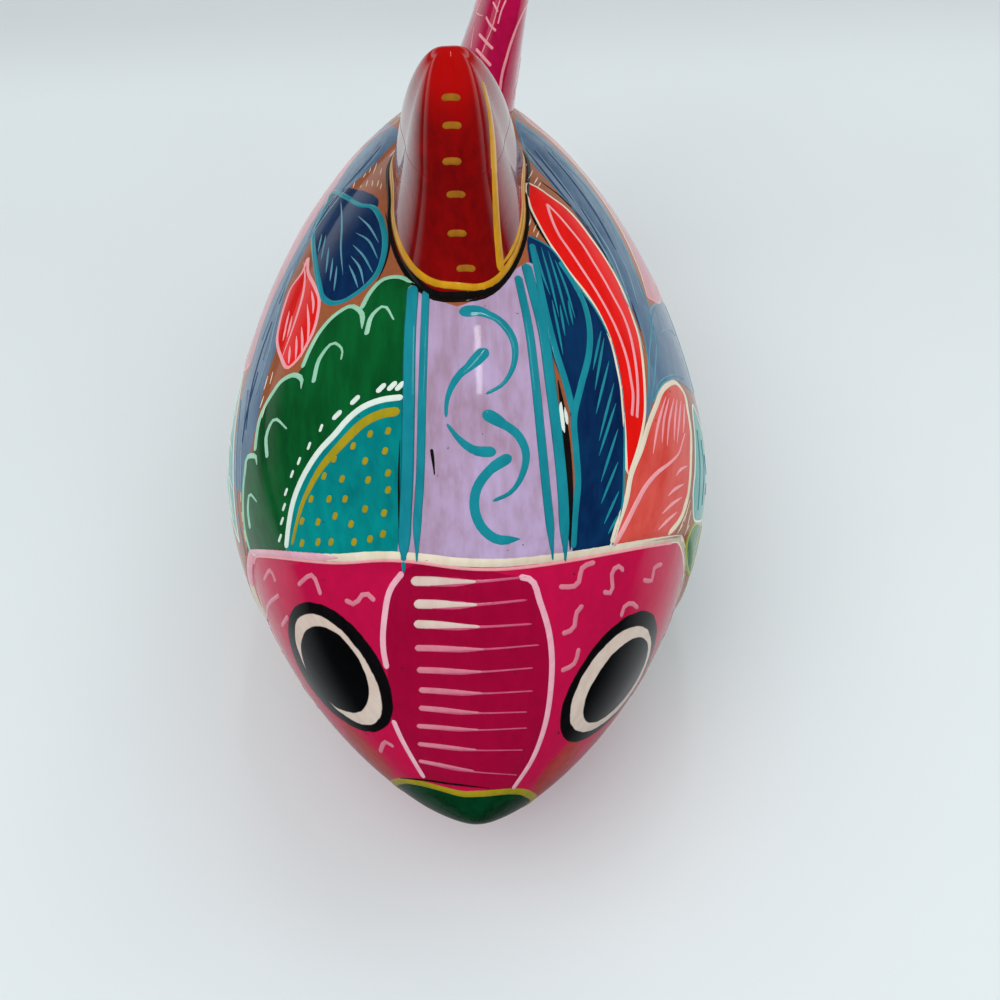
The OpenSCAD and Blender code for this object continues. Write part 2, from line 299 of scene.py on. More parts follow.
@dataclass(frozen=True)
class BodyForm(Surface):
    """The body's outer form: superellipse sections along the fish, with a step at the gills."""

    middle: float
    length: float = 148.0
    width: float = 80.4
    back: float = 75.0
    mouth: float = 36.0
    widest: float = 60.0
    highest: float = 62.0
    lowest: float = 59.0
    pared: float = 4.0
    wall: float = 5.0
    root_w: float = 22.0
    root_top: float = 57.0
    root_bottom: float = 33.0
    lip_len: float = 5.2
    lip_tip: float = 0.35
    flank_sharp: float = 0.77
    brow_sharp: float = 0.6
    chin_sharp: float = 0.65
    shoulder: float = 1.8
    flank_taper: float = 0.65
    belly_taper: float = 0.8
    square: float = 2.15
    level_share: float = 0.54
    brow_border: float = 24.6
    cheek_border: float = 20.5
    border_turn: float = math.radians(70)
    gill_depth: float = 0.9
    gill_edge: float = 0.7
    gill_fade: float = 10.0

    def snout(self, u: Array, sharp: float) -> Array:
        """Rise from the snout: a rounded shoulder to a power that sharpens it."""
        return (1 - (1 - np.clip(u, 0, 1)) ** self.shoulder) ** sharp

    def taper(self, s: Array, start: float, full: float) -> Array:
        """Fall towards the tail: a cosine to a power that fills it out."""
        u = np.clip((s - start) / (self.length - start), 0, 1)
        return np.clip(np.cos(np.pi / 2 * u), 0, 1) ** full

    def flank(self, s: Array) -> Array:
        """Half width at a station."""
        fore = self.width / 2 * self.snout(s / self.widest, self.flank_sharp)
        spare = (self.width - self.root_w) / 2
        aft = self.root_w / 2 + spare * self.taper(s, self.widest, self.flank_taper)
        return np.where(s < self.widest, fore, aft)

    def crest(self, s: Array) -> Array:
        """Height of the back at a station."""
        fore = self.mouth + (self.back - self.mouth) * self.snout(s / self.highest, self.brow_sharp)
        aft = self.root_top + (self.back - self.root_top) * self.taper(s, self.highest, 1)
        return np.where(s < self.highest, fore, aft)

    def keel(self, s: Array) -> Array:
        """Height of the round belly at a station, before it is pared flat."""
        fore = self.mouth - (self.mouth + self.pared) * self.snout(s / self.lowest, self.chin_sharp)
        drop = self.root_bottom + self.pared
        aft = self.root_bottom - drop * self.taper(s, self.lowest, self.belly_taper)
        return np.where(s < self.lowest, fore, aft)

    def level(self, s: Array) -> Array:
        """Height at which a section is widest."""
        keel = self.keel(s)
        return keel + (self.crest(s) - keel) * self.level_share

    def border(self, a: Array) -> Array:
        """Station of the head's border: a cosine from the brow, then level down the cheeks."""
        turn = np.minimum(np.abs(a), self.border_turn)
        return self.brow_border + self.cheek_border * (1 - np.cos(turn))

    def gill(self, s: Array, a: Array) -> Array:
        """How far the head stands in: a smooth step at its border that fades out forwards."""
        ahead = self.border(a) - s
        edge = ease((ahead + self.gill_edge) / (2 * self.gill_edge))
        return self.gill_depth * edge * np.exp(-np.maximum(ahead, 0) / self.gill_fade)

    def section(self, s: Array, a: Array, inset: Array | float, floor: float) -> Array:
        """Points of a superellipse section, moved in by an inset and cut flat at a floor."""
        up = np.cos(a)
        mid = self.level(s)
        reach = np.where(up > 0, self.crest(s) - mid, mid - self.keel(s)) - inset
        x = (self.flank(s) - inset) * signed_power(np.sin(a), 2 / self.square)
        z = np.maximum(mid + reach * signed_power(up, 2 / self.square), floor)
        tip = self.lip_tip + s * (1 - self.lip_tip / self.lip_len)
        y = np.where(s < self.lip_len, tip, s) - self.middle
        return columns(x, y, z)

    def point(self, u: Array, v: Array) -> Array:
        """Points of the skin at a station and an angle."""
        s = np.clip(u, 0.02, self.length)
        return self.section(s, v, self.gill(s, v), 0.0)

    def search(self) -> tuple[Array, Array]:
        """A net of stations and angles over the upper side."""
        return net((0.4, 147, 110), (-1.75, 1.75, 120))

    def back_z(self, s: Array, x: Array) -> Array:
        """Height of the back's surface at a station and a distance from the middle."""
        mid = self.level(s)
        part = np.minimum(np.abs(x) / self.flank(s), 1) ** self.square
        return mid + (self.crest(s) - mid) * (1 - part) ** (1 / self.square)

    def angle_at(self, s: Array, x: Array) -> Array:
        """Angle of the upper surface at a station and a distance from the middle."""
        part = np.minimum(np.abs(x) / self.flank(s), 1) ** (self.square / 2)
        return np.sign(x) * np.arcsin(part)

    def girth_angles(self, s: Array, share: Array) -> Array:
        """Angles down a flank: even to the edge of the pared flat, then across it."""
        flat_share = 0.92
        mid = self.level(s)
        keel = self.keel(s)
        cut = np.where(keel < 0, mid / np.maximum(mid - keel, 1e-6), 1.0) ** (self.square / 2)
        edge = np.minimum(np.pi - np.arccos(np.clip(cut, 0, 1)), 0.94 * np.pi)
        down = edge * np.minimum(share / flat_share, 1)
        across = (np.pi - edge) * np.maximum((share - flat_share) / (1 - flat_share), 0)
        return down + across


@dataclass(frozen=True)
class FinForm(Surface):
    """The dorsal fin: squarish eggs in plan that lean back, thin out and dome over at the top."""

    body: BodyForm
    front: float = 67.0
    foot: float = 48.0
    thick: float = 18.0
    thin: float = 0.25
    aside: float = 0.4
    egg: float = 0.35
    square: float = 3.4
    rise: float = 22.931
    rake: float = 18.5
    back_rake: float = 14.0
    dome_square: float = 2.2
    dome_late: float = 1.8
    rake_curve: float = 0.95
    roll_w: float = 2.2
    roll_h: float = 11.0
    roll_edge: float = 0.03
    sunk: float = 1.5
    outward = -1.0

    def plan(self, z: Array, a: Array, out: Array | float = 0.0) -> Array:
        """Points at a height and an angle, moved outwards by a distance."""
        h = np.clip((z - self.body.back) / self.rise, 0, 1)
        dome = (1 - h**self.dome_late) ** (1 / self.dome_square)
        fore = self.front + self.rake * h**self.rake_curve
        aft = self.front + self.foot - self.back_rake * h
        half = self.thick / 2 * (1 - self.thin * h) * dome + out
        ring = (np.abs(np.sin(a)) ** self.square + np.abs(np.cos(a)) ** self.square) ** (1 / self.square)
        back = np.cos(a) / ring
        wider = 1 + self.egg * signed_power(back, self.square / 2)
        x = self.aside + half * np.sin(a) / ring * wider
        y = (fore + aft) / 2 + ((aft - fore) / 2 * dome + out) * back - self.body.middle
        return columns(x, y, z)

    def point(self, u: Array, v: Array) -> Array:
        """Points of the fin at a height and an angle, where 0 looks to the tail."""
        return self.plan(u, v)

    def search(self) -> tuple[Array, Array]:
        """A net of heights and angles over the fin."""
        return net((70, self.body.back + self.rise - 0.02, 90), (0, 6.28, 150))

    def seat(self, a: Array) -> Array:
        """Height of the back under the outer edge of the roll."""
        edge = self.plan(np.full_like(a, self.body.back), a, self.roll_w)
        return self.body.back_z(edge[..., 1] + self.body.middle, edge[..., 0])

    def patch(self) -> Patch:
        """The fin as rings from under its seat to its top, which closes in one point."""
        around, low, high = 192, 8, 56
        a = turns(around)[None, :]
        foot = self.seat(a) - self.sunk
        below = foot + (self.body.back - foot) * np.linspace(0, 1, low, endpoint=False)[:, None]
        climb = self.rise * np.sin(np.linspace(0, np.pi / 2, high, endpoint=False))[:, None]
        above = np.broadcast_to(self.body.back + climb, (high, around))
        rings = self.plan(np.vstack([below, above]), a)
        top = self.plan(np.array([self.body.back + self.rise]), np.array([0.0]))
        count = (low + high) * around
        cap = fan(count - around + np.arange(around), count)
        quads = grid_quads(low + high, around, wrap=True)[:, ::-1]
        return Patch(np.vstack([rings.reshape(-1, 3), top]), [quads, cap], [list(range(around))])


@dataclass(frozen=True)
class RollForm(Surface):
    """The roll of clay smeared hollow from the back up to the dorsal fin."""

    fin: FinForm
    steps = (0.01, 0.002)
    outward = -1.0

    def point(self, u: Array, v: Array) -> Array:
        """Points at a share of the roll's height and an angle round the fin."""
        f = self.fin
        out = f.roll_edge + (f.roll_w - f.roll_edge) * (1 - np.clip(u, 0, 1)) ** 2
        return f.plan(f.seat(np.asarray(v, float)) + f.roll_h * u, v, out)

    def search(self) -> tuple[Array, Array]:
        """A net of shares and angles over the roll."""
        return net((0, 1, 20), (0, 6.28, 200))

    def patch(self) -> Patch:
        """The roll as a closed profile carried round the fin."""
        f = self.fin
        around, flare = 192, 14
        a = turns(around)[:, None]
        seat = f.seat(a)
        share = np.linspace(0, 1, flare)
        share[-2] = 0.995
        skin = self.point(share[None, :], a)
        under = f.plan(seat - f.sunk, a, f.roll_w)
        inner = f.plan(seat + f.roll_h, a, -f.sunk)
        root = f.plan(seat - f.sunk, a, -f.sunk)
        rings = np.concatenate([under, skin, inner, root], 1)
        n = flare + 3
        points = np.concatenate([rings, rings[:1]]).reshape(-1, 3)
        quads = grid_quads(around + 1, n, wrap=True) % (around * n)
        return Patch(points[: around * n], [quads[:, ::-1]])


@dataclass(frozen=True)
class TailForm(Surface):
    """The upright tail: ellipses that sweep back and thin out to two lobes, leaned to one side."""

    body: BodyForm
    over: float = 23.0
    reach: float = 24.0
    rise: float = 55.83
    drop: float = 32.9
    sweep: float = 30.0
    notch: float = 10.0
    thick: float = 18.0
    tip_thick: float = 6.0
    thin_curve: float = 1.8
    lean: float = math.radians(17)
    aside: float = 1.6
    lobe_late: float = 6.0
    dome_square: float = 2.2
    sweep_curve: float = 1.6
    notch_curve: float = 1.5
    fillet_len: float = 7.0
    fillet_edge: float = 1.0
    fillet_keep: float = 0.75
    steps = (0.002, 0.002)
    outward = -1.0

    def leaned(self, x: Array, s: Array, z: Array) -> Array:
        """Points turned sideways about the middle of the root, from upright ones."""
        mid = (self.body.root_top + self.body.root_bottom) / 2
        cos, sin = math.cos(self.lean), math.sin(self.lean)
        out = self.aside + x * cos + z * sin
        return columns(out, s - self.body.middle, mid + z * cos - x * sin)

    def point(self, u: Array, v: Array) -> Array:
        """Points at a share of the rise, or below 0 of the drop, and an angle round the section."""
        share = np.clip(np.abs(u), 0, 1)
        dome = (1 - share**self.lobe_late) ** (1 / self.dome_square)
        fore = self.body.length - self.over + self.sweep * share**self.sweep_curve
        aft = self.body.length + self.reach - self.notch * (1 - share**self.notch_curve)
        spare = (self.thick - self.tip_thick) * (1 - share) ** self.thin_curve
        half = (self.tip_thick + spare) / 2 * dome
        s = (fore + aft) / 2 + (aft - fore) / 2 * dome * np.cos(v)
        lobe = np.where(np.asarray(u) < 0, -self.drop, self.rise)
        return self.leaned(half * np.sin(v), s, lobe * share)

    def search(self) -> tuple[Array, Array]:
        """A net of shares and angles over the tail."""
        return net((0, 0.99, 90), (0, 6.28, 120))

    def patch(self) -> Patch:
        """The tail as rings between the ends of its lobes, which each close in one point."""
        rows, around = 97, 96
        u = np.sin(np.linspace(-np.pi / 2, np.pi / 2, rows + 2))[1:-1, None]
        a = turns(around)[None, :]
        rings = self.point(u, a).reshape(-1, 3)
        ends = self.point(np.array([-1.0, 1.0]), np.array([0.0, 0.0]))
        n = rows * around
        ring = np.arange(around)
        low = fan(ring, n)[:, [1, 0, 2]]
        high = fan(n - around + ring, n + 1)
        quads = grid_quads(rows, around, wrap=True)[:, ::-1]
        return Patch(np.vstack([rings, ends]), [quads, low, high])

    def fillets(self) -> Patch:
        """The clay fillet: rings from the body's end drawn in to the tail by a falling square."""
        around, rows = 120, 12
        a = turns(around)[None, :]
        end = np.full_like(a, self.body.length)
        root = self.body.section(end, a, 0.0, 0.0)
        tall = (self.body.root_top - self.body.root_bottom) / 2 * self.fillet_keep
        span = self.over + self.reach - self.notch
        part = 2 * (self.over + self.fillet_len) / span - 1
        wide = self.thick / 2 * math.sqrt(1 - part**2) + self.fillet_edge
        thin = self.leaned(wide * np.sin(a), end + self.fillet_len, tall * np.cos(a))
        u = np.linspace(0, 1, rows)[:, None, None]
        draw = np.concatenate(np.broadcast_arrays(1 - (1 - u) ** 2, u, 1 - (1 - u) ** 2), -1)
        rings = root + (thin - root) * draw
        n = rows * around
        caps = [list(range(around))[::-1], list(range(n - around, n))]
        return Patch(rings.reshape(-1, 3), [grid_quads(rows, around, wrap=True)], caps)


class PhotoView:
    """The photo's camera, which also tells where a place in the photo lies on a surface."""

    focal = 1080.0
    centre = 500.0
    sensor_mm = 36.0
    frame_px = 1000.0
    eye = np.array([4.17, -139.09, 184.92])
    down_sin = 0.8
    down_cos = 0.6
    roll = 0.034
    turn = 0.010
    rounds = 8
    first_damp = 1e-3
    damp_down = 0.3
    damp_up = 8

    def __init__(self) -> None:
        """Works out the camera's right, down and forward directions."""
        ct, st = math.cos(self.turn), math.sin(self.turn)
        level = np.array([ct, -st, 0.0])
        down = np.array([-self.down_sin * st, -self.down_sin * ct, -self.down_cos])
        ahead = np.array([self.down_cos * st, self.down_cos * ct, -self.down_sin])
        cr, sr = math.cos(self.roll), math.sin(self.roll)
        self.axes = np.stack([cr * level + sr * down, -sr * level + cr * down, ahead])
        self.nets: dict[int, tuple[Array, Array, Array]] = {}

    def pixels(self, points: Array) -> Array:
        """Places in the photo of points, by perspective."""
        seen = (points - self.eye) @ self.axes.T
        return self.centre + self.focal * seen[..., :2] / seen[..., 2:]

    def net(self, surface: Surface) -> tuple[Array, Array, Array]:
        """The surface's search net: parameters and places in the photo of what faces the camera."""
        key = id(surface)
        if key not in self.nets:
            u, v = surface.search()
            p = surface.point(u, v)
            normal = surface.slopes(u, v)[2]
            faces = dot(p - self.eye, normal) < 0
            self.nets[key] = (u[faces], v[faces], self.pixels(p[faces]))
        return self.nets[key]

    def chart(self, surface: Surface, places: Array) -> Array:
        """Parameters of the surface at places in the photo.

        The nearest point of the search net comes first. Then damped Newton steps close in, and
        a step is kept only where it comes nearer, so a place beside the outline stays on its edge.

        Args:
            surface: The surface that is seen there.
            places: Photo places in pixels, one per row.

        Returns:
            The two parameters, one pair per row.
        """
        net_u, net_v, net_px = self.net(surface)
        near = ((net_px[None] - places[:, None]) ** 2).sum(-1).argmin(1)
        u, v = net_u[near], net_v[near]
        du, dv = surface.steps
        miss = places - self.pixels(surface.point(u, v))
        damp = np.full(len(u), self.first_damp)
        for _ in range(self.rounds):
            base = self.pixels(surface.point(u, v))
            ju = (self.pixels(surface.point(u + du, v)) - base) / du
            jv = (self.pixels(surface.point(u, v + dv)) - base) / dv
            uu, vv = dot(ju, ju) * (1 + damp), dot(jv, jv) * (1 + damp)
            move_u, move_v = solved(uu, dot(ju, jv), vv, dot(ju, miss), dot(jv, miss))
            next_u, next_v = u + move_u, v + move_v
            next_miss = places - self.pixels(surface.point(next_u, next_v))
            better = dot(next_miss, next_miss) < dot(miss, miss)
            u, v = np.where(better, next_u, u), np.where(better, next_v, v)
            miss = np.where(better[:, None], next_miss, miss)
            damp = np.where(better, damp * self.damp_down, damp * self.damp_up)
        return columns(u, v)

    def camera(self) -> None:
        """Makes the scene's camera at the photo's place, with its angle of view."""
        data = bpy.data.cameras.new("photo_camera")
        data.sensor_width = self.sensor_mm
        data.lens = self.focal * self.sensor_mm / self.frame_px
        data.clip_start = 0.005
        made = linked("photo_camera", data)
        right, down, ahead = self.axes
        turn = Matrix(np.stack([right, -down, -ahead], 1).tolist()).to_4x4()
        made.matrix_world = Matrix.Translation((self.eye * MM).tolist()) @ turn
        bpy.context.scene.camera = made


class Socket:
    """A shader value that takes part in expressions, each of which adds a Math node."""

    def __init__(self, shader: "Shader", link: bpy.types.NodeSocket) -> None:
        """Wraps an output of one of the shader's nodes."""
        self.shader = shader
        self.link = link

    def maths(self, operation: str, first: Any, second: Any = 0.0) -> "Socket":
        """A Math node of two values."""
        return self.shader.node("Math", {"operation": operation}, {0: first, 1: second})

    def __add__(self, other: Any) -> "Socket":
        """This plus the other."""
        return self.maths("ADD", self, other)

    def __radd__(self, other: Any) -> "Socket":
        """The other plus this."""
        return self.maths("ADD", other, self)

    def __sub__(self, other: Any) -> "Socket":
        """This minus the other."""
        return self.maths("SUBTRACT", self, other)

    def __rsub__(self, other: Any) -> "Socket":
        """The other minus this."""
        return self.maths("SUBTRACT", other, self)

    def __mul__(self, other: Any) -> "Socket":
        """This times the other."""
        return self.maths("MULTIPLY", self, other)

    def __rmul__(self, other: Any) -> "Socket":
        """The other times this."""
        return self.maths("MULTIPLY", other, self)

    def clamped(self) -> "Socket":
        """This kept between 0 and 1."""
        return self.shader.node("Clamp", {}, {"Value": self})

    def step(self, low: float, high: float) -> "Socket":
        """Smooth step of this, from 0 at the low value to 1 at the high one."""
        settings = {"interpolation_type": "SMOOTHSTEP"}
        return self.shader.node(
            "MapRange", settings, {"Value": self, "From Min": low, "From Max": high}
        )


class Shader:
    """One material's nodes."""

    coat_rough = 0.06
    paint_shine = 0.02

    def __init__(self, name: str, world: bpy.types.World | None = None) -> None:
        """Starts a new material, or a world that is given, with no nodes."""
        self.material = world or bpy.data.materials.new(name)
        self.material.use_nodes = True
        self.tree = self.material.node_tree
        self.tree.nodes.clear()

    def node(
        self, kind: str, settings: dict[str, Any], inputs: dict[Any, Any], out: Any = 0
    ) -> Socket:
        """Adds a node.

        Args:
            kind: Its type, without the leading ShaderNode.
            settings: Its own settings, which are made first.
            inputs: Values or links of its sockets, by name or number.
            out: Name or number of the output that is returned.

        Returns:
            That output.
        """
        made = self.tree.nodes.new("ShaderNode" + kind)
        for key, value in settings.items():
            setattr(made, key, value)
        for key, value in inputs.items():
            if isinstance(value, Socket):
                self.tree.links.new(value.link, made.inputs[key])
            else:
                made.inputs[key].default_value = value
        return Socket(self, made.outputs[out] if len(made.outputs) else None)

    def mix(self, part: Any, first: Any, second: Any) -> Socket:
        """Colour between two, by a share of the second."""
        inputs = {"Factor": part, 6: first, 7: second}
        return self.node("Mix", {"data_type": "RGBA"}, inputs, 2)

    def value(self, attribute: str) -> Socket:
        """A value kept on the mesh's points."""
        return self.node("Attribute", {"attribute_name": attribute}, {}, "Fac")

    def place(self, scale: Scale = 1.0) -> Socket:
        """Object coordinates, stretched by one scale or by one for each axis."""
        base = self.node("TexCoord", {}, {}, "Object")
        each = (scale,) * 3 if isinstance(scale, float) else scale
        return self.node("Mapping", {}, {"Vector": base, "Scale": each})

    def axis(self, vector: Socket, name: str) -> Socket:
        """One part of a vector."""
        return self.node("SeparateXYZ", {}, {"Vector": vector}, name)

    def mirrored(self) -> Socket:
        """1 for what the varnish mirrors, and 0 for what is seen or lights directly."""
        return self.node("LightPath", {}, {}, "Is Glossy Ray")

    def noise(self, scale: Scale, detail: float = 3.0) -> Socket:
        """Cloudy noise about 0.5, with a number of patches per metre."""
        inputs = {"Vector": self.place(scale), "Scale": 1.0, "Detail": detail, "Roughness": 0.55}
        return self.node("TexNoise", {}, inputs, 0)

    def bump(self, height: Socket, depth: float, below: Socket | None = None) -> Socket:
        """Relief of a height of so many metres, on top of another relief."""
        inputs: dict[Any, Any] = {"Height": height, "Strength": 1.0, "Distance": depth}
        if below is not None:
            inputs["Normal"] = below
        return self.node("Bump", {}, inputs, 0)

    def finish(self, inputs: dict[Any, Any]) -> bpy.types.Material:
        """Closes the material with a principled surface."""
        surface = self.node("BsdfPrincipled", {}, inputs)
        self.node("OutputMaterial", {}, {"Surface": surface})
        return self.material

    def varnish(
        self, colour: Socket, rough: Socket, relief: Socket, coat: Any, glass: float
    ) -> bpy.types.Material:
        """Closes the material with matt paint under a clear coat of a weight and an index."""
        return self.finish(
            {
                "Base Color": colour,
                "Roughness": rough,
                "Normal": relief,
                "Coat Weight": coat,
                "Coat Roughness": self.coat_rough,
                "Coat IOR": glass,
                "Specular IOR Level": self.paint_shine,
            }
        )


class Fill(Enum):
    """Painted areas of the body, from the lowest coat up, with their light and deep tones."""

    PINK = ("d88e98", "c06a78")
    SLATE = ("647e97", "476380")
    NAVY = ("07345f", "021c46")
    AQUA = ("5fb0aa", "45958f")
    OLIVE = ("3f8538", "225c22")
    GREEN = ("06602c", "034019")
    FAN = ("00908f", "007073")
    BAND = ("bfa9cf", "a3849a")
    CORAL = ("e05a50", "d23c32")
    RED = ("f3140d", "d80c07")
    HEAD = ("c90d48", "b80a42")
    # The panel's fill is a darker copy of the head's raspberry: painted shade on the brow, against the
    # lighter sides of the head.
    PANEL = ("a60438", "980131")
    CHEEK = ("bc3434", "962224")
    LIP = ("004222", "00280e")
    RING = ("100d10", "060506")
    IRIS = ("e4d2c4", "d2baac")
    PUPIL = ("08080a", "030304")

    @property
    def key(self) -> str:
        """Name of the value on the mesh's points that tells how deep inside the area they lie."""
        return "paint_" + self.name.lower()


class Line(Enum):
    """Paints of the brush strokes, with their light and deep tones."""

    CREAM = ("efe3cd", "dccbb0")
    BLUSH = ("f7a9ad", "ec8d95")
    PALE = ("f0bcc8", "e298ac")
    MILK = ("e0cbbf", "d2b2aa")
    ROSE = ("dc8496", "cc6c82")
    WASH = ("d26484", "c24a6c")
    TEAL = ("1a8d9a", "0c7685")
    SKY = ("5f9fb0", "3f8096")
    MIST = ("8fa9b8", "7491a6")
    INK = ("24466e", "16325a")
    MINT = ("a3d6b8", "7fbf9c")
    WHITE = ("e6efe6", "cfe0d4")
    OLIVE = ("b09a1c", "8a8418")
    GOLD = ("dba01e", "b67c12")
    BRASS = ("a8721c", "844812")
    BLACK = ("171312", "0a0807")
    LIME = ("a8b83c", "8a9a2c")


class Taper(Enum):
    """How wide a stroke is along its length."""

    ROUND = "even, with round ends"
    COMET = "broad at the start and thin at the end"
    DAB = "broad for the first half, then thin"
    DRIP = "even, and thin at the very end"
    SPINDLE = "thin at both ends"

    def widths(self, t: Array, ends: float) -> Array:
        """Share of the full width at shares of the length, where ends is the round ends' share."""
        rim = np.minimum(np.minimum(t, 1 - t) / max(ends, 1e-6), 1)
        rounded = np.sqrt(np.maximum(1 - (1 - rim) ** 2, 0.02))
        if self is Taper.COMET:
            return rounded * (1 - 0.62 * ease((t - 0.25) / 0.75))
        if self is Taper.DAB:
            return rounded * (1 - 0.58 * ease((t - 0.36) / 0.22) - 0.17 * t)
        if self is Taper.DRIP:
            return rounded * (1 - 0.72 * ease((t - 0.88) / 0.12))
        if self is Taper.SPINDLE:
            return np.maximum(np.sin(np.pi * t), 0.0) ** 0.7 * 0.92 + 0.08
        return rounded


@dataclass(frozen=True)
class PaintFinish:
    """One gloss paint over clay: brushed tones, fine streaks and a coat of varnish.

    The crest is a painted highlight: the brighter tone that the paint turns to towards the top of the
    figurine.
    """

    name: str
    light: str
    deep: str
    rough: float = 0.34
    coat: float = 0.85
    mottle: float = 0.5
    glass: float = 1.4
    crest: str = ""
    highlight_from = 0.0895
    highlight_full = 0.096
    highlight_share = 0.75

    def material(self) -> bpy.types.Material:
        """The paint's material."""
        sh = Shader(self.name)
        streak = sh.noise((700.0, 90.0, 700.0))
        cloud = sh.noise(70.0, 4.0)
        part = (streak.step(0.3, 0.75) * 0.5 + cloud.step(0.35, 0.7) * self.mottle).clamped()
        colour = sh.mix(part, rgb(self.light), rgb(self.deep))
        # Painted highlight: the colour turns to the brighter crest tone with height, near the top.
        if self.crest:
            height = sh.axis(sh.place(), "Z")
            thin = height.step(self.highlight_from, self.highlight_full) * self.highlight_share
            colour = sh.mix(thin, colour, rgb(self.crest))
        relief = sh.bump(streak, 0.04 * MM, sh.bump(cloud, 0.3 * MM))
        rough = self.rough + (streak - 0.5) * 0.16
        return sh.varnish(colour, rough, relief, self.coat, self.glass)


@dataclass(frozen=True)
class ClayFinish:
    """Bare low-fired clay: grainy, matt and slightly smoked."""

    name: str = "bare_clay"
    light: str = "b06a46"
    deep: str = "8d4f33"

    def material(self) -> bpy.types.Material:
        """The clay's material."""
        sh = Shader(self.name)
        cloud = sh.noise(55.0, 5.0)
        grain = sh.noise(1800.0, 2.0)
        part = (cloud.step(0.3, 0.7) * 0.7 + (grain - 0.5) * 0.5).clamped()
        return sh.finish(
            {
                "Base Color": sh.mix(part, rgb(self.light), rgb(self.deep)),
                "Roughness": 0.8 + (grain - 0.5) * 0.2,
                "Normal": sh.bump(grain, 0.1 * MM, sh.bump(cloud, 0.4 * MM)),
            }
        )


@dataclass(frozen=True)
class BodyFinish:
    """Clay under its painted areas and the varnish that covers them all."""

    name: str = "painted_body"
    clay_light: str = "a8603c"
    clay_deep: str = "86482c"
    speck: str = "2a1d1c"
    edge_mm: float = 0.1
    wobble_mm: float = 0.22
    clay_rough: float = 0.46
    coat: float = 0.8
    glass: float = 1.4

    def material(self) -> bpy.types.Material:
        """The body's material, whose coats are laid over each other by their depth inside."""
        sh = Shader(self.name)
        streak = sh.noise((650.0, 80.0, 650.0))
        cloud = sh.noise(60.0, 4.0)
        fine = sh.noise(1500.0, 2.0)
        tone = (streak.step(0.3, 0.75) * 0.55 + cloud.step(0.35, 0.7) * 0.5).clamped()
        grain = (cloud.step(0.3, 0.7) * 0.6 + (fine - 0.5) * 0.6).clamped()
        colour = sh.mix(grain, rgb(self.clay_light), rgb(self.clay_deep))
        stray = (sh.noise(420.0, 2.0) - 0.5) * (2 * self.wobble_mm)
        painted: Socket | None = None
        for fill in Fill:
            depth = sh.value(fill.key) + stray
            cover = depth.step(-self.edge_mm, self.edge_mm)
            coat = sh.mix(tone, rgb(fill.value[0]), rgb(fill.value[1]))
            colour = sh.mix(cover, colour, coat)
            painted = cover if painted is None else painted.maths("MAXIMUM", painted, cover)
        dirt = sh.noise(800.0, 1.0).step(0.775, 0.79) * 0.7
        colour = sh.mix(dirt, colour, rgb(self.speck))
        relief = sh.bump(streak, 0.04 * MM, sh.bump(cloud, 0.35 * MM))
        rough = self.clay_rough - painted * 0.12 + (streak - 0.5) * 0.16
        return sh.varnish(colour, rough, relief, self.coat + (cloud - 0.5) * 0.2, self.glass)


@dataclass(frozen=True)
class Outline:
    """A closed outline on the body, as stations and angles."""

    chart: Array

    def depth(self, body: BodyForm, s: Array, a: Array, points: Array, reach: float) -> Array:
        """How deep points lie inside the outline, in millimetres and below 0 outside.

        The sign is by the even and odd count of the outline's crossings of a line through the
        point, and the size is the distance in space to the outline's nearest segment.

        Args:
            body: The form that the outline lies on.
            s: Stations of the points.
            a: Their angles.
            points: Their places.
            reach: Depth beyond which it isn't worked out.

        Returns:
            The depth at each point, kept within the reach.
        """
        low = self.chart.min(0) - np.array([reach, reach / 9])
        high = self.chart.max(0) + np.array([reach, reach / 9])
        near = (s > low[0]) & (s < high[0]) & (a > low[1]) & (a < high[1])
        found = np.full(len(s), -reach)
        if not near.any():
            return found
        p = points[near].astype(np.float32)
        ps, pa = s[near][:, None], a[near][:, None]
        s0, a0 = self.chart[:, 0][None], self.chart[:, 1][None]
        s1, a1 = np.roll(s0, -1), np.roll(a0, -1)
        crosses = (a0 > pa) != (a1 > pa)
        gap = np.where(a1 == a0, TINY, a1 - a0)
        inside = (crosses & (ps < s0 + (pa - a0) * (s1 - s0) / gap)).sum(1) % 2 == 1
        line = body.point(self.chart[:, 0], self.chart[:, 1]).astype(np.float32)
        span = np.roll(line, -1, 0) - line
        size = np.maximum(dot(span, span), TINY)
        away = p @ span.T - dot(line, span)[None]
        part = np.clip(away / size[None], 0, 1)
        square = dot(p, p)[:, None] + dot(line, line)[None] - 2 * p @ line.T
        square = square - 2 * part * away + part * part * size[None]
        distance = np.sqrt(np.maximum(square.min(1), 0))
        found[near] = np.clip(np.where(inside, distance, -distance), -reach, reach)
        return found


@dataclass(frozen=True)
class Ellipse:
    """A slanted ellipse in the photo: centre, half width, half height and slant."""

    x: float
    y: float
    half_w: float
    half_h: float
    slant: float

    def knots(self) -> Array:
        """Points round the ellipse, whose height follows its width by the slant."""
        t = turns(40)
        tall = self.slant * np.cos(t) + math.sqrt(1 - self.slant**2) * np.sin(t)
        return columns(self.x + self.half_w * np.cos(t), self.y + self.half_h * tall)


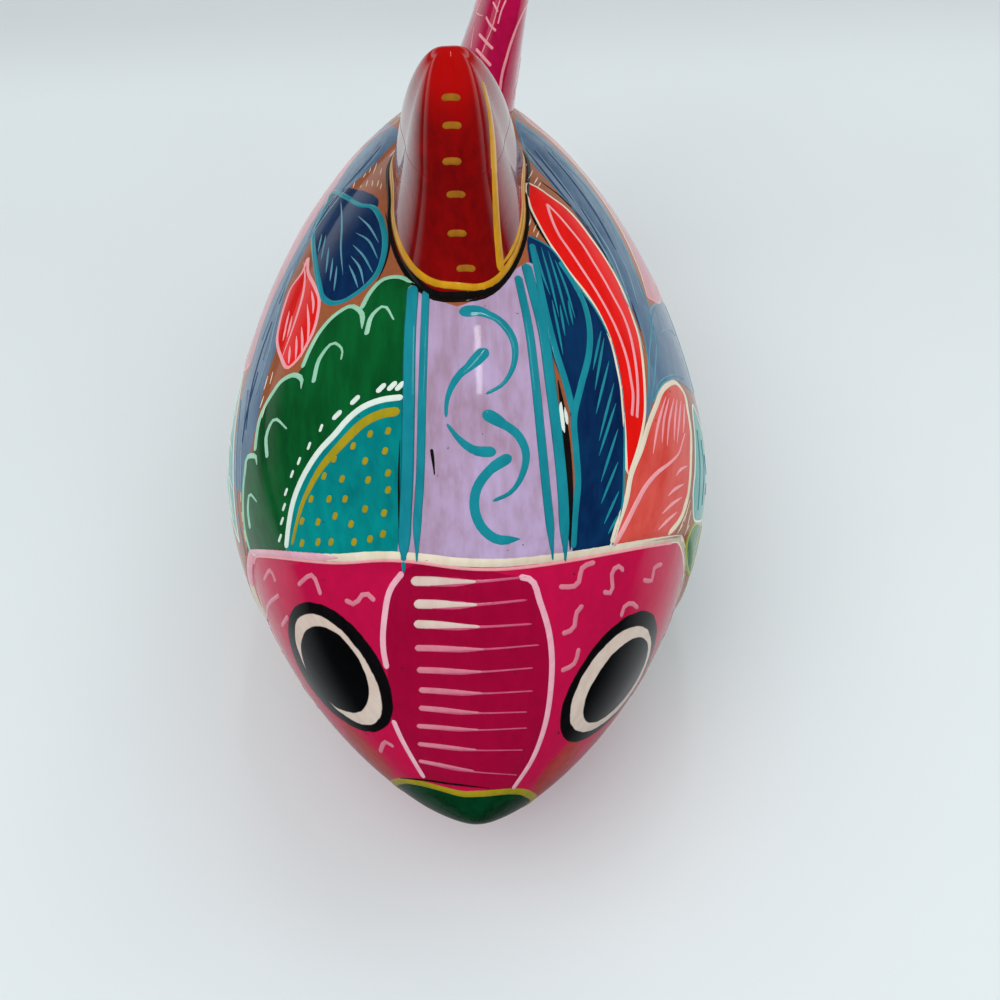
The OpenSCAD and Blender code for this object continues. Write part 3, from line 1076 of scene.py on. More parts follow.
@dataclass(frozen=True)
class Leaf:
    """A painted leaf on the body, between two tips given by station and degrees."""

    fill: Fill
    line: Line
    tip: tuple[float, float]
    end: tuple[float, float]
    fat: float
    bend: float = 0.0
    ribs: int = 6

    def place(self, body: BodyForm, t: Array, side: Array | float) -> Array:
        """Stations and angles along the leaf, at a share of its half width to one side."""
        ends = np.array([self.tip, self.end], float)
        ends[:, 1] = np.radians(ends[:, 1])
        base = ends[0] + (ends[1] - ends[0]) * t[:, None]
        girth = np.asarray(body.flank(base[:, 0]) * 0.5 + body.crest(base[:, 0]) * 0.25)
        run = unit(columns(ends[1, 0] - ends[0, 0], (ends[1, 1] - ends[0, 1]) * girth))
        swell = np.sin(np.pi * t) ** 0.85 * (1.1 - 0.25 * t)
        off = self.bend * np.sin(np.pi * t) + side * self.fat * swell
        return base + columns(-run[:, 1] * off, run[:, 0] * off / girth)

    def outline(self, body: BodyForm) -> Array:
        """Stations and angles round the leaf."""
        t = np.linspace(0, 1, 28)
        return np.vstack([self.place(body, t, 1.0), self.place(body, t[::-1][1:-1], -1.0)])

    def mirrored(self, fill: Fill, line: Line) -> "Leaf":
        """The leaf on the other flank, in other paints."""
        tip, end = (self.tip[0], -self.tip[1]), (self.end[0], -self.end[1])
        return Leaf(fill, line, tip, end, self.fat, -self.bend, self.ribs)


class BrushWork:
    """Brush strokes: thin raised ribbons of paint that follow a surface, grouped by paint."""

    across = np.array([-1.0, -0.7, 0.0, 0.7, 1.0])
    lift = np.array([-0.06, 0.05, 0.08, 0.05, -0.06])
    tip_shares = np.array([0.0, 0.06, 0.2, 0.42, 0.7])
    most_tip = 0.3
    step_mm = 0.9
    counts = (5, 90)
    mottle = 0.35

    def __init__(self, view: PhotoView, owner: str, slot: str, surface: Surface) -> None:
        """Starts the strokes on one surface.

        Args:
            view: The photo's camera.
            owner: Name of what is painted.
            slot: A material slot's name, which is kept but not used.
            surface: The surface that carries the strokes, unless a stroke names another.
        """
        self.view = view
        self.owner = owner
        self.slot = slot
        self.surface = surface
        self.ribbons: dict[Line, list[Patch]] = {}

    def chart(
        self,
        line: Line,
        path: Array,
        width: float,
        taper: Taper = Taper.ROUND,
        surface: Surface | None = None,
        above: float = 0.0,
    ) -> None:
        """Lays a stroke along the surface's own parameters.

        The cross-section is a low dome whose edges lie under the surface. Each of its points is
        found on the surface, by the offset across the stroke in the two parameters.

        Args:
            line: Its paint.
            path: Parameters along its middle.
            width: Its width in millimetres.
            taper: How the width changes.
            surface: The surface, if it isn't the usual one.
            above: Its lift over other strokes, in millimetres.
        """
        on = surface or self.surface
        track = on.point(path[:, 0], path[:, 1])
        run = np.concatenate([[0.0], np.cumsum(np.linalg.norm(np.diff(track, axis=0), axis=1))])
        length = max(run[-1], 1e-6)
        end = min(width / 2 / length, self.most_tip)
        tip = end * self.tip_shares
        t = np.linspace(end, 1 - end, int(np.clip(length / self.step_mm, *self.counts)))
        t = np.concatenate([tip, t, 1 - tip[::-1]])
        count = len(t)
        u = np.interp(t * length, run, path[:, 0])
        v = np.interp(t * length, run, path[:, 1])
        along, around, normal = on.slopes(u, v)
        side = unit(np.cross(np.gradient(on.point(u, v), axis=0), normal))
        squares = (dot(along, along), dot(along, around), dot(around, around))
        rate_u, rate_v = solved(*squares, dot(side, along), dot(side, around))
        off = (width / 2 * taper.widths(t, end))[:, None] * self.across[None]
        wide_u = u[:, None] + off * rate_u[:, None]
        wide_v = v[:, None] + off * rate_v[:, None]
        rings = on.point(wide_u, wide_v) + (self.lift + above)[None, :, None] * normal[:, None]
        k = len(self.across)
        caps = [list(range(k))[::-1], list(range((count - 1) * k, count * k))]
        quads = grid_quads(count, k, wrap=True)
        self.ribbons.setdefault(line, []).append(Patch(rings.reshape(-1, 3), [quads], caps))

    def photo(
        self,
        line: Line,
        knots: Knots,
        width: float,
        taper: Taper = Taper.ROUND,
        surface: Surface | None = None,
        closed: bool = False,
        above: float = 0.0,
    ) -> None:
        """Lays a stroke through places in the photo.

        Args:
            line: Its paint.
            knots: Places in pixels along its middle.
            width: Its width in millimetres.
            taper: How the width changes.
            surface: The surface, if it isn't the usual one.
            closed: Whether it runs back to its start.
            above: Its lift over other strokes, in millimetres.
        """
        places = curve(knots, 12 + 5 * len(knots), closed)
        if closed:
            places = np.vstack([places, places[:1]])
        path = self.view.chart(surface or self.surface, places)
        self.chart(line, path, width, taper, surface, above)

    def photos(
        self,
        line: Line,
        strokes: Sequence[Knots],
        width: float,
        taper: Taper = Taper.ROUND,
        above: float = 0.0,
    ) -> None:
        """Lays several strokes that are alike through places in the photo."""
        for knots in strokes:
            self.photo(line, knots, width, taper, above=above)

    def dots(self, line: Line, places: Knots, long: float, wide: float, slant: float) -> None:
        """Dabs short strokes at places in the photo, so many pixels long and leaning to one side."""
        for x, y in places:
            ends = [(x - slant * long / 2, y + long / 2), (x + slant * long / 2, y - long / 2)]
            self.photo(line, ends, wide)

    def build(self, shop: Workshop) -> None:
        """Makes one piece of each paint's strokes."""
        for line, patches in self.ribbons.items():
            name = f"brush_{self.owner}_{line.name.lower()}"
            finish = PaintFinish(name, *line.value, mottle=self.mottle)
            shop.piece(name, Patch.joined(patches), finish.material())


class BodyPaint:
    """The painted areas of the body, and the strokes drawn on them."""

    reach = 3.0
    bell_at = -0.297
    bell_wide = 0.279
    border_back = 0.05
    right_drop = 0.75
    leaf_edge = 0.6
    leaf_vein = 0.5
    leaf_rib = 0.35
    rib_side = 0.78
    rib_run = 0.13

    def __init__(self, body: BodyForm, view: PhotoView) -> None:
        """Starts with the areas that follow the body's own form."""
        self.body = body
        self.view = view
        self.brush = BrushWork(view, "body", "painted_body", body)
        self.outlines: dict[Fill, list[Outline]] = {}
        self.rules: dict[Fill, Callable[[Array, Array], Array]] = {
            Fill.HEAD: lambda s, a: self.head_edge(a) - 0.3 - s,
            Fill.LIP: lambda s, a: self.lip_edge(a) - s,
        }

    @staticmethod
    def lip_edge(a: Array) -> Array:
        """Station of the edge of the green lips: a cosine that runs back down the cheeks."""
        return 1.5 + (3.25 - 1.3 * np.sin(a)) * np.minimum(1 - np.cos(a), 1.45) ** 1.4

    def head_edge(self, a: Array) -> Array:
        """Station of the middle of the head's cream border.

        It leaves the gills' border by a bell to the left of the brow, and down the right cheek by
        the square of the sine.
        """
        bell = np.exp(-(((a - self.bell_at) / self.bell_wide) ** 2))
        drop = self.right_drop * np.maximum(np.sin(a), 0.0) ** 2
        return self.body.border(a) + self.border_back + bell - drop

    def add(self, fill: Fill, knots: Knots) -> None:
        """Adds an area by an outline in the photo."""
        places = curve(knots, max(48, 5 * len(knots)), closed=True)
        self.outlines.setdefault(fill, []).append(Outline(self.view.chart(self.body, places)))

    def add_rim(self, fill: Fill, knots: Knots, turn: float) -> Array:
        """Adds a bowed strip from a line in the photo on down the flank.

        The far edge is the line turned round the body by the root of a half sine wave.

        Args:
            fill: The strip's paint.
            knots: The line, in pixels of the photo.
            turn: The strip's width at its middle, in radians.

        Returns:
            The far edge, as stations and angles.
        """
        path = self.view.chart(self.body, curve(knots, 40))
        bow = np.sqrt(np.sin(np.linspace(0.0, np.pi, len(path))).clip(0.0))
        far = path + columns(0.0, turn * bow)
        self.outlines.setdefault(fill, []).append(Outline(np.vstack([path, far[::-1]])))
        return far

    def add_leaf(self, leaf: Leaf) -> None:
        """Adds a leaf with its outline, vein and ribs."""
        body = self.body
        self.outlines.setdefault(leaf.fill, []).append(Outline(leaf.outline(body)))
        t = np.linspace(0, 1, 28)
        for side in (1.0, -1.0):
            self.brush.chart(leaf.line, leaf.place(body, t, side), self.leaf_edge)
        vein = np.linspace(0.06, 0.88, 20)
        self.brush.chart(leaf.line, leaf.place(body, vein, 0.0), self.leaf_vein, Taper.COMET)
        run = np.linspace(0, 1, 8)
        for i, start in enumerate(np.linspace(0.2, 0.72, leaf.ribs)):
            side = self.rib_side if i % 2 else -self.rib_side
            rib = leaf.place(body, start + self.rib_run * run, side * run)
            self.brush.chart(leaf.line, rib, self.leaf_rib, Taper.SPINDLE)

    def depths(self, s: Array, a: Array, points: Array) -> dict[str, Array]:
        """Depth inside each area at points of the body.

        Args:
            s: Their stations.
            a: Their angles.
            points: Their places.

        Returns:
            The depths by the name of the value that the material reads.
        """
        found = {}
        for fill in Fill:
            deepest = np.full(len(s), -self.reach)
            if fill in self.rules:
                deepest = np.clip(self.rules[fill](s, a), -self.reach, self.reach)
            for outline in self.outlines.get(fill, []):
                deep = outline.depth(self.body, s, a, points, self.reach)
                deepest = np.maximum(deepest, deep)
            found[fill.key] = deepest
        return found


class Painter(ABC):
    """One part of the body's pattern."""

    rim_turn = 0.36
    hatch_width = 0.26

    def __init__(self, paint: BodyPaint) -> None:
        """Keeps the body's paint to add to, and its brush."""
        self.paint = paint
        self.brush = paint.brush

    @abstractmethod
    def draw(self) -> None:
        """Adds the part's areas and strokes to the paint."""


class HeadPaint(Painter):
    """Strokes and eyes of the head, as the photo shows them."""

    left_eye = {
        Fill.RING: Ellipse(340.5, 667, 52.5, 65, 0.6),
        Fill.IRIS: Ellipse(338.5, 669.5, 43.5, 55.5, 0.67),
        Fill.PUPIL: Ellipse(335, 669.5, 34, 43.5, 0.53),
    }
    right_eye = {
        Fill.RING: Ellipse(608.5, 676.5, 48.5, 65.5, -0.72),
        Fill.IRIS: Ellipse(610.5, 679, 40.5, 53, -0.69),
        Fill.PUPIL: Ellipse(615.5, 680, 32.5, 43, -0.75),
    }
    panel_left = [(403, 572), (391, 588), (384.5, 617), (383.5, 651), (387, 669)]
    panel_low = [(393, 720), (401, 738), (412, 758), (424, 778)]
    panel_right = [
        (519, 577), (530, 579), (540, 602), (549, 632), (552, 660), (551, 686), (545, 725),
        (532, 760), (513, 789),
    ]
    rung_left = [
        (411, 581), (414, 604), (414, 624), (415, 648), (417, 670), (419, 690), (419, 708),
        (417, 726), (418, 744), (419, 761),
    ]
    rung_right = [
        (527, 577), (527, 600), (532, 624), (539, 645), (533, 668), (533, 691), (527, 712),
        (527, 728), (523, 750), (517, 775),
    ]
    rung_width = [1.55, 1.45, 1.3, 1.0, 1.0, 0.95, 0.9, 0.8, 0.8, 0.75]
    squiggles = [
        [(264, 580), (270, 570), (276, 582)], [(298, 585), (311, 575), (321, 595)],
        [(345, 600), (354, 604), (365, 593), (375, 601)], [(279, 595), (269, 604), (268, 626)],
        [(288, 616), (282, 626)], [(380, 752), (385, 742), (394, 747)],
        [(559, 587), (577, 585), (583, 567), (595, 562)],
        [(603, 592), (610, 593), (614, 569), (621, 566), (623, 572)],
        [(643, 580), (651, 581), (655, 567), (662, 564)],
        [(562, 634), (573, 629), (577, 612), (583, 605)], [(561, 671), (574, 664), (579, 648)],
        [(621, 617), (625, 606), (631, 603), (638, 608)],
    ]
    cheek_left = [(343, 716), (352, 728), (364, 740), (376, 751), (386, 763), (395, 778)]
    cheek_right = [(580, 733), (568, 744), (556, 757), (546, 767), (538, 779), (532, 790)]
    lip_shadow = [(400, 778), (424, 780), (448, 783.5), (470, 786), (490, 788.5)]

    border_strokes = [
        (Line.CREAM, (-152, 152, 160), 0.0, 1.5, Taper.ROUND, 0.0),
        (Line.BLUSH, (-74, 66, 90), 0.54, 0.5, Taper.ROUND, 0.04),
        (Line.PALE, (-86, -34, 40), 0.0, 1.5, Taper.DRIP, 0.03),
    ]
    panel_foot = [(440, 783), (480, 788)]
    panel_width = 1.05
    rung_sag = 3
    milky_from = 1.2
    squiggle_width = 0.85
    cheek_turn = 0.7
    hidden_hooks = ((30, 96), (22, 104), (31, 118), (20, 128), (29, 140))

    def draw(self) -> None:
        """Draws the eyes, the border, the panel, the squiggles, the cheeks and the lip line."""
        for eye in (self.left_eye, self.right_eye):
            for fill, ellipse in eye.items():
                self.paint.add(fill, ellipse.knots().tolist())
        self.border()
        self.panel()
        self.brush.photos(Line.ROSE, self.squiggles, self.squiggle_width)
        self.paint.add_rim(Fill.CHEEK, self.cheek_left, -self.cheek_turn)
        self.paint.add_rim(Fill.CHEEK, self.cheek_right, self.cheek_turn)
        self.brush.photo(Line.BLACK, self.lip_shadow, 0.5, Taper.SPINDLE)
        edge = np.radians(np.linspace(-150, 150, 120))
        self.brush.chart(Line.OLIVE, columns(self.paint.lip_edge(edge) + 0.1, edge), 1.45)
        self.hidden_cheeks()

    def border(self) -> None:
        """Draws the cream border, the pink rim in front of it and the pale pink on its left.

        Each stroke has a paint, a span of degrees with its steps, a distance in front of the
        border's middle, a width, a taper and a lift.
        """
        for line, degrees, ahead, width, taper, above in self.border_strokes:
            a = np.radians(np.linspace(*degrees))
            path = columns(self.paint.head_edge(a) - ahead, a)
            self.brush.chart(line, path, width, taper, above=above)

    def panel(self) -> None:
        """Draws the panel on the brow, whose darker raspberry is painted shade, its edges, and its rungs
        of thin wash with pale heads.
        """
        edges = [self.panel_left, self.panel_low, self.panel_right]
        self.paint.add(Fill.PANEL, edges[0] + edges[1] + self.panel_foot + edges[2][::-1])
        self.brush.photos(Line.PALE, edges, self.panel_width)
        for start, end, width in zip(self.rung_left, self.rung_right, self.rung_width):
            sag = (0.5 * (start[0] + end[0]), 0.5 * (start[1] + end[1]) + self.rung_sag)
            head = (start[0] + 0.56 * (end[0] - start[0]), sag[1] - 0.2)
            line = Line.MILK if width > self.milky_from else Line.ROSE
            self.brush.photo(Line.WASH, [start, sag, end], width, Taper.DAB)
            self.brush.photo(line, [start, head], width * 0.95, Taper.COMET, above=0.03)

    def hidden_cheeks(self) -> None:
        """Carries the squiggles on down the cheeks, where the photo doesn't reach."""
        t = np.linspace(0, 1, 12)
        for side in (-1, 1):
            for s, deg in self.hidden_hooks:
                hook = side * np.radians(deg + 4.5 * np.sin(4.2 * t))
                self.brush.chart(Line.ROSE, columns(s + 3.0 * t, hook), self.squiggle_width)


class BackPaint(Painter):
    """The band along the back, with its stripes and swirls."""

    band = [
        (437, 297), (411, 284), (409, 330), (407, 430), (404, 500), (402, 572), (480, 574), (567, 566),
        (562, 480), (555, 400), (542, 330), (527, 262), (512, 272), (475, 300), (453, 306),
    ]
    stripes = [
        ([(413, 286), (410, 330), (408.5, 403), (407, 477), (404.5, 530), (403.5, 573)], 1.85),
        ([(426, 290), (424, 340), (422, 403), (420, 480), (417, 530), (417, 562)], 1.2),
        ([(518, 276), (529, 329), (536, 386), (541, 436), (546, 486), (551, 535), (552.7, 560)], 1.3),
        ([(526, 264), (533, 291), (542, 325), (551, 386), (557.5, 436), (563, 490), (565.5, 562)], 1.7),
    ]
    swirl_width = 1.6
    swirl_heads = [2.9, 2.4, 1.9, 2.3, 1.9]
    mark = [(431.5, 449), (433, 460), (434.5, 475)]
    swirls = [
        ([(459, 312), (478, 311), (500, 321), (514, 342), (514, 364), (503, 384), (486, 394)],
         Taper.COMET),
        ([(487, 349), (474, 362), (456, 379), (447, 400), (446, 417)], Taper.COMET),
        ([(496, 452), (474, 450), (458, 438), (447, 424)], Taper.COMET),
        ([(483, 412), (500, 422), (518, 435), (526, 453), (523, 473), (510, 493), (493, 501)],
         Taper.COMET),
        ([(511, 456), (489, 471), (476, 491), (475, 511), (483, 529), (496, 539), (520, 539)],
         Taper.DRIP),
    ]

    def draw(self) -> None:
        """Draws the band, its stripes, its swirls with their broad heads, and a chip."""
        self.paint.add(Fill.BAND, self.band)
        for knots, width in self.stripes:
            self.brush.photo(Line.TEAL, knots, width, Taper.DRIP, above=0.06)
        for (knots, taper), head in zip(self.swirls, self.swirl_heads):
            self.brush.photo(Line.TEAL, knots, self.swirl_width, taper)
            self.brush.photo(Line.TEAL, knots[:3], head, Taper.COMET)
        self.brush.photo(Line.BLACK, self.mark, 0.55, Taper.COMET)


class LeftPaint(Painter):
    """The left flank's scalloped field, dotted fan and leaves."""

    scallops = [
        [(415, 284), (400, 277), (384, 279), (371, 291), (361, 309)],
        [(362, 329), (361, 312), (352, 306), (339, 312), (321, 330), (310, 349), (302, 368)],
        [(301, 389), (301, 378), (296, 375), (284, 379), (272, 394), (261, 415), (256, 440), (255, 451)],
        [(257, 465), (255, 456), (249, 456), (245, 472), (243, 501), (246, 536), (250, 551)],
    ]
    field_foot = [(250, 560), (300, 568), (350, 570), (406, 572), (406, 430)]
    field = scallops[0] + scallops[1][2:] + scallops[2][2:] + scallops[3][2:-1] + field_foot
    inner_arcs = [
        [(366, 335), (373, 314), (384, 306), (394, 320)],
        [(313, 383), (321, 356), (335, 343), (342, 349), (341, 360)],
        [(267, 458), (267, 433), (275, 419), (287, 429)],
        [(250, 529), (248, 506), (250, 494), (257, 502)],
    ]
    fan_white = [
        (286, 548), (289, 522), (293, 502), (300, 483), (309, 466), (320, 450), (335, 434), (346, 421),
        (363, 407), (381, 400), (403, 397),
    ]
    fan_foot = [(405, 396), (406, 480), (406, 572), (350, 572), (310, 570)]
    fan = [(285, 566)] + fan_white[:-1] + fan_foot
    fan_gold = [
        (400, 411), (381, 414), (363, 423), (349, 436), (335, 451), (320, 469), (312, 483), (303, 502),
        (297, 522), (292, 545),
    ]
    fan_gap = [(400, 440), (399, 465), (399, 513), (400, 545)]
    navy_shade = [(385, 212), (388.5, 228), (389, 246), (385, 264), (377, 282)]
    navy_dark = [
        (337, 193), (345, 188), (358, 190), (370, 193), (379, 201), (377, 208), (362, 205), (348, 199),
    ]
    dashes = [
        (280, 538), (282, 521), (284, 507), (286, 492), (292, 474), (299, 461), (309, 446), (321, 428),
        (337, 415), (355, 400), (381, 388), (392, 386), (400, 386),
    ]
    fan_dots = [
        (370, 434), (388, 431), (353, 446), (385, 451), (365, 461), (334, 459), (324, 476), (342, 479),
        (368, 480), (388, 473), (311, 499), (329, 499), (345, 499), (388, 490), (365, 509), (384, 513),
        (335, 516), (302, 521), (318, 522), (351, 524), (383, 534), (370, 539), (302, 543), (318, 542),
        (331, 542), (354, 542),
    ]
    navy = [
        (332, 192), (348, 198), (360, 205), (373, 207), (379, 215), (383, 226), (385, 243), (383, 258),
        (378, 272), (367, 285), (354, 295), (341, 302), (331, 303), (323, 298), (319, 284), (316, 268),
        (314, 253), (313, 236), (318, 221), (327, 203),
    ]
    navy_ribs = [
        [(341, 201), (342, 224), (341, 249), (343, 275)], [(322, 234), (318, 253)],
        [(326, 235), (321, 261)], [(329, 247), (326, 273)], [(333, 258), (330, 281)],
        [(337, 266), (334, 291)], [(358, 216), (368, 225), (379, 243)],
        [(356, 233), (367, 239), (378, 259)], [(353, 245), (362, 254), (373, 273)],
        [(351, 256), (359, 266), (364, 285)], [(349, 265), (354, 276), (358, 288)],
    ]
    coral = [
        (308, 258), (303, 271), (291, 288), (284, 307), (279, 326), (277, 341), (281, 357), (287, 368),
        (297, 360), (307, 344), (313, 332), (318, 313), (319, 298), (314, 285), (308, 272),
    ]
    coral_ribs = [
        [(304, 262), (305, 279), (303, 294), (296.5, 317), (289, 339), (282, 358)],
        [(311.6, 291), (313.4, 303), (313, 314)], [(307.3, 304), (308.7, 326), (307.3, 347)],
        [(301.6, 327), (302.3, 343), (301.6, 357)], [(296.6, 336), (296.3, 350), (295.5, 360)],
        [(290, 346), (289.4, 355), (288.7, 364)], [(289.4, 311), (284, 335)],
        [(292.3, 316), (287.3, 337)], [(286.5, 324), (283, 341)],
    ]
    slate = [
        (398, 130), (381, 157), (346, 190), (326, 209), (312, 235), (303, 255), (289, 283), (279, 321),
        (276, 349), (267, 376), (260, 407), (254, 436), (249, 456), (242, 493), (237, 490), (234, 464),
        (236, 436), (241, 401), (251, 364), (263, 324), (281, 281), (303, 238), (334, 189), (358, 154),
        (392, 125),
    ]
    rim = slate[:-8:-1]
    slate_lines = [
        ([(390, 136), (366, 168), (340, 197), (318, 226), (301, 255), (286, 290), (274, 322),
          (263, 360)], 0.3),
        ([(380, 142), (354, 176), (330, 204), (310, 236), (292, 268), (276, 303), (262, 340)], 0.3),
        ([(374, 164), (354, 182), (326, 205), (307, 239), (291, 275), (277, 317), (269, 352),
          (256, 395)], 0.45),
        ([(241, 400), (237, 440), (236, 480), (239, 520), (246, 556)], 0.5),
        ([(248, 390), (243, 430), (241, 470), (242, 500)], 0.3),
    ]
    slate_darks = [
        [(381, 146), (362, 168), (342, 190)], [(330, 204), (311, 236), (294, 268), (279, 304)],
        [(272, 322), (260, 356), (250, 396), (246, 430)], [(258, 372), (247, 412), (241, 450)],
    ]
    hatch = [
        [(377, 163), (373, 175)], [(366, 173), (363, 178)], [(355, 182), (353, 188)],
        [(368, 180), (366, 187)], [(373, 180), (372, 187)], [(379, 180), (377, 187)],
        [(382, 168), (380, 175)], [(382, 183), (380, 190)], [(362, 185), (360, 188)],
        [(371, 168), (369, 173)], [(268, 376), (264, 390)], [(273, 372), (270, 384)],
        [(264, 396), (260, 408)], [(266, 404), (262, 418)], [(259, 418), (257, 428)],
        [(241, 492), (241, 502)], [(242, 512), (243, 522)], [(244, 530), (246, 542)],
    ]

    def draw(self) -> None:
        """Draws the flank's areas, then the strokes on them."""
        paint, brush = self.paint, self.brush
        areas = [
            (Fill.GREEN, self.field), (Fill.FAN, self.fan), (Fill.NAVY, self.navy),
            (Fill.NAVY, self.navy_dark), (Fill.RED, self.coral), (Fill.SLATE, self.slate),
        ]
        for fill, knots in areas:
            paint.add(fill, knots)
        brush.chart(Line.BLUSH, paint.add_rim(Fill.PINK, self.rim, -self.rim_turn), 0.6)
        brush.photos(Line.MINT, [knots[::-1] for knots in self.scallops], 1.0, Taper.DRIP)
        brush.photo(Line.BLACK, self.navy_shade, 0.5, Taper.SPINDLE)
        brush.photos(Line.MINT, self.inner_arcs, 0.95, Taper.COMET)
        brush.photo(Line.WHITE, self.fan_white, 1.2)
        brush.photo(Line.OLIVE, self.fan_gold, 1.75, Taper.COMET)
        brush.photo(Line.BLACK, self.fan_gap, 0.35, Taper.SPINDLE)
        brush.dots(Line.WHITE, self.dashes[:8], 8.0, 0.6, 0.35)
        brush.dots(Line.WHITE, self.dashes[8:], 9.0, 1.0, 1.0)
        brush.dots(Line.OLIVE, self.fan_dots, 7.5, 0.95, 0.3)
        brush.photo(Line.TEAL, self.navy, 1.2, closed=True)
        brush.photos(Line.SKY, self.navy_ribs, 0.45, Taper.SPINDLE)
        brush.photo(Line.BLUSH, self.coral, 0.75, closed=True)
        brush.photos(Line.BLUSH, self.coral_ribs, 0.6, Taper.SPINDLE)
        brush.photos(Line.INK, self.slate_darks, 0.7, Taper.SPINDLE)
        for knots, width in self.slate_lines:
            brush.photo(Line.MIST, knots, width, Taper.SPINDLE, above=0.03)
        brush.photos(Line.CREAM, self.hatch, self.hatch_width, Taper.SPINDLE)


